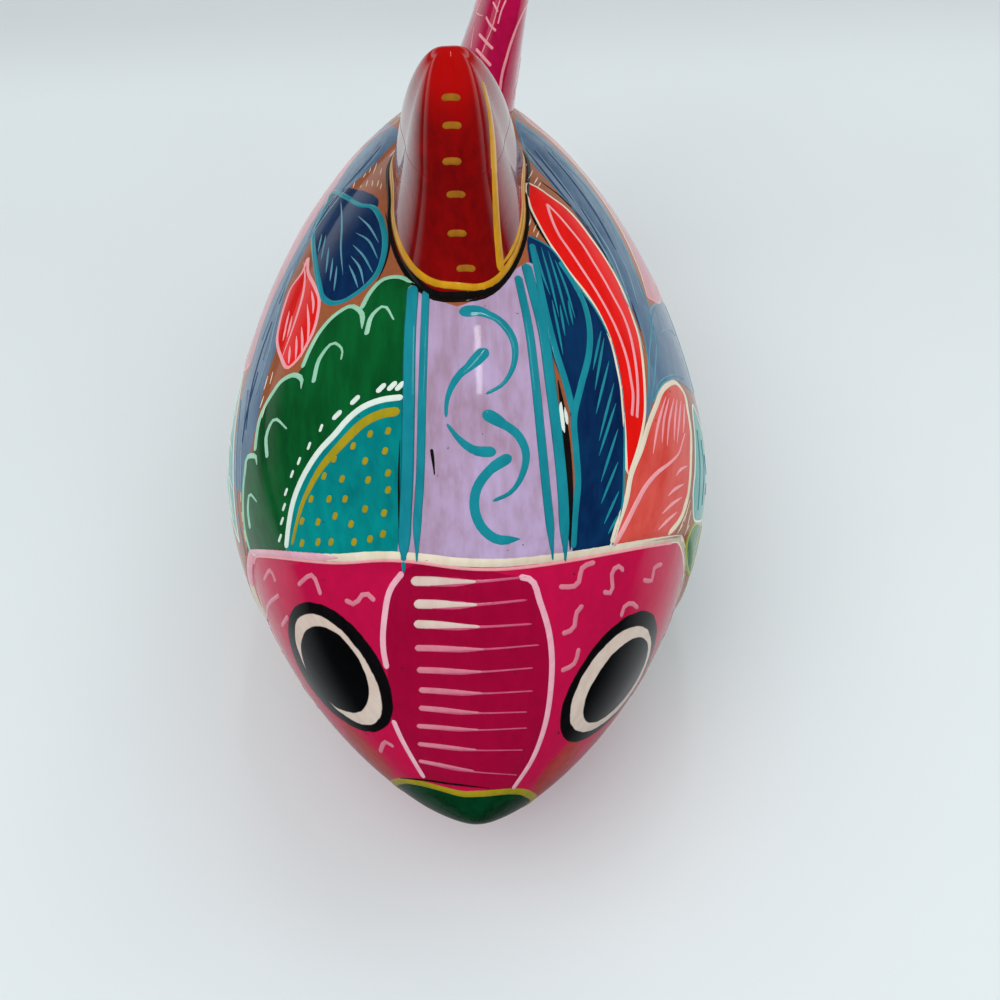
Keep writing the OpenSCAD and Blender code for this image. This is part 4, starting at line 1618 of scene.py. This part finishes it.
class RightPaint(Painter):
    """The right flank's leaves."""

    navy = [
        (529, 236), (548, 246), (574, 281), (597, 312), (607, 330), (614, 348), (618, 366), (621, 386),
        (624, 408), (625, 433), (625, 460), (623, 482), (622, 507), (616, 524), (611, 550), (592, 556),
        (571, 560), (574, 516), (576, 482), (574, 449), (571, 420), (562, 380), (552, 355), (543, 325),
        (535, 290), (529, 260),
    ]
    navy_lines = [
        ([(532, 244), (541, 290), (549, 325), (557, 355), (565, 380), (574, 415)], 1.25),
        ([(560, 262), (574, 283), (584, 303), (590, 333), (589, 353), (581, 386), (574, 418), (576, 449),
          (578, 482), (575, 516), (573, 548)], 1.2),
        ([(529, 236), (548, 246), (574, 281), (597, 312), (612, 344), (620, 378), (624, 420), (624, 470),
          (622, 507), (612, 545)], 0.45),
    ]
    navy_ribs = [
        [(601, 331), (593, 370)], [(604, 338), (595, 390)], [(609, 361), (596, 414)],
        [(614, 383), (599, 441)], [(616, 403), (599, 456)], [(618, 429), (601, 482)],
        [(618, 462), (601, 504)], [(619, 491), (604, 524)], [(619, 514), (608, 534)],
        [(535, 247), (541, 270), (550, 295)], [(541, 247), (549, 275), (559, 317)],
        [(548, 251), (557, 280), (569, 326)], [(555, 260), (565, 285), (575, 318)],
        [(552, 300), (558, 328), (563, 355)], [(560, 305), (565, 336)], [(568, 300), (573, 325)],
    ]
    red = [
        (528, 183), (535, 186), (551, 197), (566, 208), (579, 222), (591, 238), (603, 255), (616, 277),
        (625, 296), (634, 321), (639, 337), (642, 355), (644, 375), (645, 393), (645, 413), (642, 433),
        (638, 449), (633, 464), (628, 477), (626, 457), (625, 433), (623, 408), (621, 386), (617, 366),
        (613, 348), (606, 328), (596, 308), (583, 289), (570, 273), (559, 257), (548, 241), (538, 223),
        (529, 203),
    ]
    red_lines = [
        [(547, 204), (551, 217), (559, 235), (570, 251), (582, 269), (595, 289), (606, 308), (616, 328),
         (623, 346), (628, 363), (631, 380), (633, 393), (632, 416)],
        [(547, 204), (559, 216), (570, 229), (582, 244), (592, 260), (603, 278), (614, 298), (623, 315),
         (629, 331), (634, 353), (637, 375), (638, 396), (637, 418)],
    ]
    slate = [
        (516, 118), (527, 126), (545, 139), (562, 155), (577, 171), (592, 189), (606, 210), (618, 231),
        (629, 254), (638, 276), (646, 297), (652, 312), (657, 326), (660, 334), (658, 342), (656, 352),
        (656, 375), (653, 398), (647, 423), (646, 410), (648, 380), (647, 353), (644, 335), (638, 318),
        (629, 304), (622, 285), (614, 267), (603, 248), (591, 230), (576, 213), (563, 197), (550, 182),
        (538, 169), (528, 156), (520, 141),
    ]
    slate_top = [
        (653, 402), (655, 370), (656, 345), (651, 308), (660, 302), (669, 310), (678, 332), (692, 392),
        (684, 384), (674, 379), (664, 383), (657, 393),
    ]
    slate_lines = [
        ([(518, 126), (528, 156), (550, 182), (576, 213), (603, 248), (622, 285), (638, 318), (647, 353),
          (648, 395), (647, 422)], 0.4),
        ([(516, 122), (538, 138), (564, 162), (588, 189), (611, 223), (630, 260), (644, 294),
          (654, 330)], 0.4),
        ([(654, 308), (651, 333), (649, 355), (650, 406)], 0.45),
        ([(654, 399), (657, 386), (666, 377), (676, 375), (684, 380)], 0.35),
        ([(656, 345), (660, 333), (668, 329), (676, 336)], 0.3),
    ]
    slate_streaks = [
        [(534, 148), (562, 184), (594, 232), (614, 272)],
        [(544, 146), (570, 176), (596, 211), (613, 242)],
        [(552, 152), (580, 186), (604, 222)], [(582, 208), (612, 256), (632, 308)],
        [(610, 238), (627, 270), (638, 306)], [(612, 228), (630, 262), (645, 304)],
        [(560, 160), (584, 184), (602, 208)], [(620, 290), (633, 316), (644, 350)],
    ]
    slate_darks = [
        [(525, 148), (546, 174), (571, 206), (595, 240), (613, 270)],
        [(534, 150), (558, 180), (585, 215), (606, 250)],
        [(548, 152), (572, 180), (596, 214), (616, 250)], [(619, 278), (632, 304), (641, 332)],
    ]
    shades = [
        [(540, 181), (560, 196), (580, 217), (598, 243), (613, 268)],
        [(528, 206), (537, 225), (552, 250)],
    ]
    white_rim = [
        (512, 106), (527, 121), (545, 135), (562, 151), (578, 168), (594, 188), (609, 210), (622, 232),
        (633, 255), (641, 275), (647, 297),
    ]
    coral = [
        (674, 383), (665, 385), (656, 408), (648, 427), (642, 447), (634, 470), (627, 497), (617, 527),
        (611, 552), (640, 549), (668, 541), (680, 520), (687, 501), (690, 480), (691, 457), (691, 433),
        (688, 412), (683, 393),
    ]
    coral_inner = [
        (610, 550), (617, 527), (627, 497), (631, 475), (642, 447), (648, 427), (656, 406), (665, 387),
        (674, 382), (683, 391),
    ]
    coral_edge = coral_inner + coral[16:10:-1] + [(668, 535)]
    coral_vein = [
        (614, 546), (626, 524), (636, 504), (646, 486), (657, 473), (671, 462), (679, 453), (682, 443),
        (685, 433),
    ]
    coral_ribs = [
        [(666, 396), (658, 425), (653, 454)], [(669, 398), (664, 420), (662, 443)],
        [(674, 398), (669, 423), (667, 446)], [(677, 399), (675, 420), (674, 441)],
        [(681, 401), (679, 422), (677, 443)], [(684, 404), (684, 420), (683, 433)],
        [(687, 466), (680, 470), (676, 476)], [(684, 484), (675, 489), (668, 496)],
        [(682, 497), (671, 505), (662, 514)], [(677, 512), (667, 521), (658, 530)],
    ]
    aqua = [
        (693, 405), (700, 425), (706, 450), (708, 472), (707, 497), (703, 520), (697, 522), (693, 500),
        (695, 470), (695, 440),
    ]
    aqua_ribs = [
        [(697, 430), (700, 465), (698, 510)], [(701, 440), (704, 470), (702, 505)],
        [(704, 455), (706, 475), (705, 495)],
    ]
    olive = [(690, 574), (686, 555), (689, 535), (697, 523), (704, 528), (703, 550), (698, 562)]
    hatch = [
        [(527, 164), (524, 172)], [(533, 170), (529, 178)], [(538, 177), (534, 184)],
        [(530, 176), (527, 181)], [(541, 182), (538, 187)], [(531, 218), (529, 226)],
        [(536, 225), (533, 233)], [(539, 231), (536, 238)], [(688, 492), (681, 516)],
        [(690, 500), (684, 522)], [(687, 512), (680, 528)], [(691, 510), (687, 528)],
        [(683, 524), (677, 534)], [(689, 525), (684, 536)],
    ]
    chip = [(561, 402), (563.5, 416), (564.5, 433)]
    gap_line = [(558, 380), (563, 410), (567, 445), (570, 490), (570, 550)]

    def draw(self) -> None:
        """Draws the flank's areas, then the strokes on them."""
        paint, brush = self.paint, self.brush
        areas = [
            (Fill.NAVY, self.navy), (Fill.RED, self.red), (Fill.SLATE, self.slate),
            (Fill.SLATE, self.slate_top), (Fill.CORAL, self.coral), (Fill.AQUA, self.aqua),
            (Fill.OLIVE, self.olive),
        ]
        for fill, knots in areas:
            paint.add(fill, knots)
        brush.photo(Line.BLACK, self.gap_line, 1.3, Taper.SPINDLE)
        brush.photo(Line.WHITE, self.chip, 1.7, Taper.SPINDLE)
        for knots, width in self.navy_lines:
            brush.photo(Line.TEAL, knots, width)
        brush.photos(Line.TEAL, self.navy_ribs, 0.5, Taper.SPINDLE)
        for knots, width in self.slate_lines:
            brush.photo(Line.SKY, knots, width, Taper.SPINDLE)
        brush.photo(Line.SKY, self.slate_top, 0.4, closed=True)
        brush.photos(Line.INK, self.slate_darks, 0.8, Taper.SPINDLE)
        brush.photos(Line.MIST, self.slate_streaks, 0.3, Taper.SPINDLE, above=0.03)
        brush.photos(Line.BLACK, self.shades, 0.75, Taper.SPINDLE)
        brush.chart(Line.BLUSH, paint.add_rim(Fill.PINK, self.white_rim, self.rim_turn), 0.6)
        brush.photo(Line.CREAM, self.white_rim, 0.5, Taper.SPINDLE)
        brush.photo(Line.CREAM, self.red, 0.6, closed=True)
        brush.photos(Line.BLUSH, self.red_lines, 0.62)
        brush.photo(Line.CREAM, self.coral_edge, 1.05)
        brush.photo(Line.BLUSH, self.coral_vein, 0.95, Taper.COMET)
        brush.photos(Line.BLUSH, self.coral_ribs, 0.62, Taper.SPINDLE)
        brush.photo(Line.WHITE, self.aqua, 0.5, closed=True)
        brush.photos(Line.TEAL, self.aqua_ribs, 0.35, Taper.SPINDLE)
        brush.photo(Line.LIME, self.olive, 0.6, closed=True)
        brush.photos(Line.CREAM, self.hatch, self.hatch_width, Taper.SPINDLE)


class LowerPaint(Painter):
    """Leaves and hatching that carry the pattern on round the flanks, where the photo ends."""

    seed = 7
    tries = 620
    stations = (44, 141)
    degrees = (12, 152)
    hidden_degrees = 84
    hidden_station = 112
    clear = 0.9
    half_long = 1.3
    half_turn = 0.012
    scatter_width = 0.27
    leaves = [
        Leaf(Fill.NAVY, Line.SKY, (44, 121), (72, 104), 5.6, 1.5),
        Leaf(Fill.CORAL, Line.BLUSH, (60, 103), (88, 82), 5.4, 1.5),
        Leaf(Fill.AQUA, Line.WHITE, (66, 128), (96, 107), 5.8, 1.5),
        Leaf(Fill.RED, Line.BLUSH, (82, 103), (110, 80), 5.2, 1.5),
        Leaf(Fill.OLIVE, Line.LIME, (43, 142), (70, 138), 5.4, 1.0),
        Leaf(Fill.SLATE, Line.SKY, (90, 126), (116, 100), 5.4, 1.2),
        Leaf(Fill.CORAL, Line.BLUSH, (72, 148), (100, 134), 5.2, 1.0),
        Leaf(Fill.OLIVE, Line.LIME, (106, 100), (130, 82), 4.2, 1.0),
        Leaf(Fill.NAVY, Line.TEAL, (110, 130), (133, 104), 4.2, 1.0),
        Leaf(Fill.RED, Line.BLUSH, (98, 156), (122, 140), 4.0, 0.8),
        Leaf(Fill.AQUA, Line.WHITE, (122, 160), (138, 132), 3.0, 0.5),
    ]
    shoulder_leaf = Leaf(Fill.AQUA, Line.WHITE, (72, -67), (42, -76), 5.0)
    left_paints = [
        (Fill.CORAL, Line.BLUSH), (Fill.AQUA, Line.WHITE), (Fill.NAVY, Line.SKY),
        (Fill.OLIVE, Line.LIME), (Fill.RED, Line.BLUSH), (Fill.CORAL, Line.BLUSH), (Fill.SLATE, Line.SKY),
        (Fill.RED, Line.BLUSH), (Fill.AQUA, Line.WHITE), (Fill.OLIVE, Line.LIME), (Fill.NAVY, Line.TEAL),
    ]

    def draw(self) -> None:
        """Draws the leaves of both flanks, then hatches the clay between them."""
        for leaf, (fill, line) in zip(self.leaves, self.left_paints):
            self.paint.add_leaf(leaf)
            self.paint.add_leaf(leaf.mirrored(fill, line))
        self.paint.add_leaf(self.shoulder_leaf)
        self.hatch()

    def hatch(self) -> None:
        """Scatters short strokes over the bare clay of the flanks and the tail's root."""
        draw = np.random.default_rng(self.seed)
        s = draw.uniform(*self.stations, self.tries)
        deg = draw.uniform(*self.degrees, self.tries) * draw.choice([-1, 1], self.tries)
        a = np.radians(deg)
        depths = self.paint.depths(s, a, self.paint.body.point(s, a))
        covered = np.max(np.stack(list(depths.values())), 0)
        hidden = (np.abs(deg) > self.hidden_degrees) | (s > self.hidden_station)
        t = np.linspace(-1, 1, 5)
        for i in np.flatnonzero((covered < -self.clear) & hidden):
            path = columns(s[i] + self.half_long * t, a[i] + self.half_turn * t)
            self.brush.chart(Line.CREAM, path, self.scatter_width, Taper.SPINDLE)


class BodyShells:
    """The two half shells of the body and the two lips, with their paint."""

    stations = 300
    girth = 250
    core_girth = 24
    lip_rows = 30
    lip_girth = 91
    slit = 0.004

    def __init__(self, body: BodyForm, paint: BodyPaint) -> None:
        """Keeps the form and the paint."""
        self.body = body
        self.paint = paint

    @staticmethod
    def spread(count: int) -> Array:
        """Shares of the length that crowd together towards both ends."""
        u = np.linspace(0, 1, count)
        return u / 2 + (1 - np.cos(np.pi * u)) / 4

    @staticmethod
    def seam_first(count: int) -> Array:
        """Even shares, except for a narrow first and last one, so that both halves shade alike."""
        v = np.linspace(0, 1, count)
        v[1] *= 0.1
        v[-2] = 1 - 0.1 * (1 - v[-2])
        return v

    def half(self) -> tuple[Patch, Array, Array]:
        """The right half shell: outer skin, inner wall, rim on the seam and end faces.

        Returns:
            The patch, and the stations and angles of its outer points, which come first.
        """
        b = self.body
        n, m, k = self.stations, self.girth, self.core_girth
        s = (b.lip_len + (b.length - b.lip_len) * self.spread(n))[:, None]
        s[1] = s[0] + 0.1 * (s[1] - s[0])
        a = b.girth_angles(s, self.seam_first(m)[None, :])
        outer = b.point(s, a)
        start, end = b.lip_len + b.wall, b.length - b.wall
        core = (start + (end - start) * self.spread(n))[:, None]
        inner = b.section(core, np.linspace(0, np.pi, k)[None, :], b.wall, b.wall)
        first = n * m
        top, low = np.arange(n) * m, np.arange(n) * m + m - 1
        in_top, in_low = first + np.arange(n) * k, first + np.arange(n) * k + k - 1
        rim = np.stack([top[:-1], top[1:], in_top[1:], in_top[:-1]], -1).tolist()
        rim += np.stack([low[:-1], in_low[:-1], in_low[1:], low[1:]], -1).tolist()
        rim.append([int(top[0]), int(in_top[0]), int(in_low[0]), int(low[0])])
        rim.append([int(top[-1]), int(low[-1]), int(in_low[-1]), int(in_top[-1])])
        last = first + (n - 1) * k
        caps = [
            list(range(m))[::-1],
            list(range((n - 1) * m, n * m)),
            list(range(first, first + k)),
            list(range(last, last + k))[::-1],
        ]
        points = np.vstack([outer.reshape(-1, 3), inner.reshape(-1, 3)])
        skins = [grid_quads(n, m), grid_quads(n, k, first)[:, ::-1]]
        charts = np.broadcast_arrays(s, a)
        return Patch(points, skins, rim + caps), charts[0].ravel(), charts[1].ravel()

    def painted(self, patch: Patch, s: Array, a: Array) -> dict[str, Array]:
        """Depths inside the painted areas at a patch's points, with none on its inner ones."""
        known = self.paint.depths(s, a, patch.points[: len(s)])
        rest = np.full(len(patch.points) - len(s), -self.paint.reach)
        return {key: np.concatenate([values, rest]) for key, values in known.items()}

    def lip(self, side: int) -> tuple[Patch, Array, Array]:
        """One lip: rings of the snout's tip above or below the slit, closed in one point in front.

        Args:
            side: 1 for the upper lip and -1 for the lower one.

        Returns:
            The patch, and the stations and angles of its points.
        """
        b = self.body
        slit, rows, around = self.slit, self.lip_rows, self.lip_girth
        near = np.linspace(0.02, 1.0, 400)
        high = np.abs((b.crest(near) if side > 0 else b.keel(near)) - b.level(near))
        front = float(np.interp(slit, high, near))
        share = np.linspace(0.02, 1, rows) ** 2
        share[-2] = 0.996
        s = (front + (b.lip_len - front) * share)[:, None]
        mid = b.level(s)
        reach = np.abs((b.crest(s) if side > 0 else b.keel(s)) - mid) - b.gill(s, np.zeros_like(s))
        first = np.arcsin(np.clip(slit / reach, 0, 0.999) ** (b.square / 2))
        turn = first + (np.pi - 2 * first) * self.seam_first(around)[None, :]
        a = np.pi / 2 - turn if side > 0 else np.pi / 2 + turn
        rings = b.point(s, a)
        mouth = b.level(np.array([front]))[0] + side * slit
        tip = np.array([[0.0, b.lip_tip + front * (1 - b.lip_tip / b.lip_len) - b.middle, mouth]])
        n = rows * around
        cap = fan(np.arange(around), n)
        quads = grid_quads(rows, around, wrap=True)
        back = list(range(n - around, n))
        patch = Patch(np.vstack([rings.reshape(-1, 3), tip]), [quads, cap], [back])
        charts = np.broadcast_arrays(s, a)
        stations = np.append(charts[0].ravel(), front)
        angles = np.append((charts[1].ravel() + np.pi) % (2 * np.pi) - np.pi, 0.0)
        return (patch.flipped() if side > 0 else patch), stations, angles

    def build(self, shop: Workshop, material: bpy.types.Material) -> None:
        """Makes the four pieces."""
        patch, s, a = self.half()
        for name, node, side in (
            ("clay_right", "right_body_shell", 1),
            ("clay_left", "left_body_shell", -1),
        ):
            half = patch if side > 0 else patch.mirrored()
            values = self.painted(half, s, a * side)
            shop.piece(name, half, material, [node], values)
        for name, node, side in (("lip_upper", "upper_lip", 1), ("lip_lower", "lower_lip", -1)):
            lip, stations, angles = self.lip(side)
            values = self.painted(lip, stations, angles)
            shop.piece(name, lip, material, [node], values)


class DorsalFin:
    """The dorsal fin with its roll, its gold lines and dashes."""

    gold_line = [
        (483, 82), (489, 107), (492.5, 134), (494, 162), (495.5, 195), (497, 227), (499, 251), (501, 272),
    ]
    dashes = [(451, 97), (452, 125), (452, 161), (456, 194), (457, 233), (466, 268)]
    dash_px = 19.0
    roll_px = 150
    arc_share = 0.14
    front_shade_share = 0.025

    def __init__(self, fin: FinForm, view: PhotoView) -> None:
        """Keeps the form and starts its strokes."""
        self.fin = fin
        self.roll = RollForm(fin)
        self.brush = BrushWork(view, "fin", "red_fin", fin)

    def draw(self) -> None:
        """Draws the gold line, the dashes, and the gold and black lines round the foot; the black lines
        are partly painted shade, under the fin's front and in the crease at its foot.
        """
        brush, fin = self.brush, self.fin
        brush.photo(Line.GOLD, self.gold_line, 2.5)
        brush.photo(Line.GOLD, self.gold_line[3:], 2.1, surface=self.roll)
        half = self.dash_px / 2
        for x, y in self.dashes:
            dash = [(x - half, y + 1), (x, y), (x + half, y + 1)]
            brush.photo(Line.BRASS, dash, 1.2, surface=self.roll if y > self.roll_px else None)
        a = np.linspace(0, 2 * np.pi, 400)
        ring = columns(0.09 + 0.03 * np.sin(2 * a + 0.6), a)
        brush.chart(Line.GOLD, ring, 1.2, surface=self.roll, above=0.05)
        for side in (-1, 1):
            arc = columns(self.arc_share, side * np.radians(np.linspace(50, 138, 40)))
            brush.chart(Line.GOLD, arc, 1.5, Taper.SPINDLE, self.roll)
        for z in np.linspace(80, 95, 5):
            brush.chart(Line.BRASS, columns(z, np.linspace(-0.22, 0.22, 7)), 1.1)
        # Black band on the roll's front foot: black paint and also painted shadow of the gap under the
        # fin's front.
        front = columns(self.front_shade_share, np.pi + np.radians(np.linspace(-58, 58, 40)))
        brush.chart(Line.BLACK, front, 1.8, Taper.SPINDLE, self.roll)
        # Black line on the back round the roll's foot: black paint and also painted shade in the crease
        # between fin and body.
        edge = fin.plan(np.full_like(a, fin.body.back), a, fin.roll_w + 0.25)
        s = edge[:, 1] + fin.body.middle
        brush.chart(Line.BLACK, columns(s, fin.body.angle_at(s, edge[:, 0])), 0.9, surface=fin.body)

    def build(self, shop: Workshop) -> None:
        """Makes the fin, its roll and its strokes."""
        # The crest gives the fin's red a brighter top, a painted highlight.
        finish = PaintFinish("red_fin", "900102", "660001", 0.3, 0.95, glass=1.6, crest="c40404")
        red = finish.material()
        shop.piece("fin_dorsal", self.fin.patch(), red, ["dorsal_fin"])
        shop.piece("fin_dorsal_roll", self.roll.patch(), red, ["dorsal_fin_roll"])
        self.brush.build(shop)


class Tail:
    """The tail with its fillets and its pink strokes."""

    strokes = [
        ([(500, 0), (497, 10), (493, 25), (487, 40), (482, 53)], 0.45),
        ([(506, 0), (501, 12), (498, 24)], 0.5), ([(493, 2), (498, 12)], 0.5),
        ([(486, 17), (491, 26), (496, 31)], 0.6), ([(479, 34), (486, 42), (493, 49)], 0.7),
        ([(476, 49), (484, 58), (491, 66)], 0.75), ([(474, 26), (471, 48)], 0.35),
        ([(528, 2), (520, 19), (512, 40), (506, 60), (502, 75), (500, 91)], 0.65),
        ([(525, 58), (520, 75), (515, 90), (514, 100)], 0.5),
    ]
    lobes = ((0.42, 0.93), (-0.4, -0.9))
    rib_turn = 22

    def __init__(self, tail: TailForm, view: PhotoView) -> None:
        """Keeps the form and starts its strokes."""
        self.tail = tail
        self.brush = BrushWork(view, "tail", "magenta_tail", tail)

    def draw(self) -> None:
        """Draws the strokes that the photo shows, and fishbones and veins on the rest."""
        for knots, width in self.strokes:
            self.brush.photo(Line.BLUSH, knots, width)
        for face, way in ((90, -1), (270, 1)):
            for low, high in self.lobes:
                self.fishbone(face, way, low, high)

    def fishbone(self, face: int, way: int, low: float, high: float) -> None:
        """Draws two veins, a spine and its ribs on one face of a lobe.

        Args:
            face: Angle of the face's middle, in degrees.
            way: Sign of the turn from there to the rear.
            low: Share of the lobe where they start.
            high: Share where they end.
        """
        t = np.linspace(0, 1, 24)
        share = low + (high - low) * t
        for turn in (34, 62):
            vein = columns(share, np.radians(face + turn * (1 - 0.5 * t) * way))
            self.brush.chart(Line.BLUSH, vein, 0.55, Taper.COMET)
        spine = columns(share, np.radians(np.full_like(t, face)))
        self.brush.chart(Line.BLUSH, spine, 0.5, Taper.COMET)
        u = np.linspace(0, 1, 6)
        for at in np.linspace(0.12, 0.85, 6):
            base = low + (high - low) * (at + 0.08 * u)
            for side in (-1, 1):
                rib = columns(base, np.radians(face + side * self.rib_turn * u))
                self.brush.chart(Line.BLUSH, rib, 0.45, Taper.COMET)

    def build(self, shop: Workshop) -> None:
        """Makes the tail, its fillets and its strokes."""
        finish = PaintFinish("magenta_tail", "c80a50", "a8063f", 0.3, 0.95, glass=1.5)
        magenta = finish.material()
        shop.piece("fin_tail", self.tail.patch(), magenta, ["tail_fin"])
        shop.piece("fillets_tail", self.tail.fillets(), magenta, ["tail_fillets"])
        self.brush.build(shop)


class Studio:
    """The pale floor and the soft light."""

    floor_half = 1.6
    floor_level = -0.05 * MM
    floor_lit_near = "eaf2f3"
    floor_dim_far = "d0d6d8"
    floor_dark = "1c2024"
    wall_glow = 0.03
    back_glow = 0.6
    daylight = 0.71
    day_tint = (0.94, 0.975, 1.0, 1.0)
    aim = np.array([0.0, 0.0, 0.05])
    lamps = [
        ("key", (-0.35, -0.25, 0.9), (0.7, 0.7), 2.6, False),
        ("fill", (0.6, 0.3, 0.7), (0.8, 0.8), 1.6, False),
        ("sheen", (0.065, 0.45, 0.95), (0.03, 0.4), 0.4, True),
    ]

    def floor(self) -> None:
        """A wide pale floor with painted light falloff, lighter in front and greyer behind the fish, and
        mostly dark where the varnish mirrors it.
        """
        count = 9
        side = (-self.floor_half, self.floor_half, count)
        points = columns(*net(side, side), self.floor_level)
        mesh = bpy.data.meshes.new("floor")
        mesh.from_pydata(points.tolist(), [], grid_quads(count, count)[:, ::-1].tolist())
        sh = Shader("floor")
        cloud = sh.noise(9.0, 3.0)
        mirror = sh.mirrored()
        place = sh.place()
        away = sh.node("VectorMath", {"operation": "LENGTH"}, {0: place}, "Value")
        behind = sh.axis(place, "Y")
        # Painted light falloff: the floor turns from the lit near tone to the dim far tone behind the
        # fish.
        part = behind.step(-0.08, 0.12) * 0.42 + behind.step(0.15, 0.21) * 0.5
        part = part + cloud.step(0.3, 0.7) * 0.08
        tint = sh.mix(part, rgb(self.floor_lit_near), rgb(self.floor_dim_far))
        pale = behind.step(-0.1, -0.02) * (1.0 - away.step(0.2, 0.7))
        tint = sh.mix(mirror * (1.0 - pale), tint, rgb(self.floor_dark))
        mesh.materials.append(sh.finish({"Base Color": tint, "Roughness": 0.6}))
        linked("floor", mesh)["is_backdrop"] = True

    def lamp(
        self, name: str, place: Sequence[float], size: tuple[float, float], watts: float, mirrored: bool
    ) -> None:
        """A soft lamp that looks at the fish.

        Args:
            name: The lamp's name.
            place: Its middle, in metres.
            size: Its width and length.
            watts: Its power.
            mirrored: Whether it shows in the varnish.
        """
        data = bpy.data.lights.new(name, "AREA")
        data.shape = "RECTANGLE"
        data.size, data.size_y = size
        data.energy = watts
        made = linked(name, data)
        made.visible_glossy = mirrored
        back = unit(np.array(place) - self.aim)
        right = unit(np.cross([0.0, 1.0, 0.0], back))
        turn = Matrix(np.stack([right, np.cross(back, right), back], 1).tolist()).to_4x4()
        made.matrix_world = Matrix.Translation(list(place)) @ turn

    def light(self) -> None:
        """Even light from all round, two soft lamps and a narrow one for the varnish."""
        world = bpy.data.worlds.new("studio")
        bpy.context.scene.world = world
        sh = Shader("studio", world)
        place = sh.node("TexCoord", {}, {}, "Object")
        height = sh.axis(place, "Z")
        behind = sh.axis(place, "Y")
        mirror = sh.mirrored()
        low_back = behind.step(0.0, 0.6) * (1.0 - height.step(0.0, 0.18))
        walls = self.wall_glow + low_back * self.back_glow
        level = mirror * walls + (1.0 - mirror) * self.daylight
        surface = sh.node("Background", {}, {"Color": self.day_tint, "Strength": level})
        sh.node("OutputWorld", {}, {"Surface": surface})
        for lamp in self.lamps:
            self.lamp(*lamp)

    def build(self) -> None:
        """Makes the floor and the light."""
        self.floor()
        self.light()


def main() -> None:
    """Builds the fish's looks in order, with the floor, the light and the camera."""
    logging.basicConfig(level=logging.INFO, format="%(name)s: %(message)s")
    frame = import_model()
    cad_low, cad_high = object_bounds()
    bpy.context.scene.view_settings.view_transform = "Standard"
    shop = Workshop(np.array(cad_low), np.array(cad_high))
    view = PhotoView()
    view.camera()
    lip_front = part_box("upper_lip")[0].y / MM
    body = BodyForm(middle=BodyForm.lip_tip - lip_front)
    paint = BodyPaint(body, view)
    for part in (HeadPaint, BackPaint, LeftPaint, RightPaint, LowerPaint):
        part(paint).draw()
    BodyShells(body, paint).build(shop, BodyFinish().material())
    paint.brush.build(shop)
    fin = DorsalFin(FinForm(body), view)
    fin.draw()
    fin.build(shop)
    tail = Tail(TailForm(body), view)
    tail.draw()
    tail.build(shop)
    roll = frame["nodes"]["seam_roll"].data
    roll.materials.clear()
    roll.materials.append(ClayFinish().material())
    LOG.info("seam_roll: the packed solid, in bare clay")
    Studio().build()


if __name__ == "__main__":
    main()
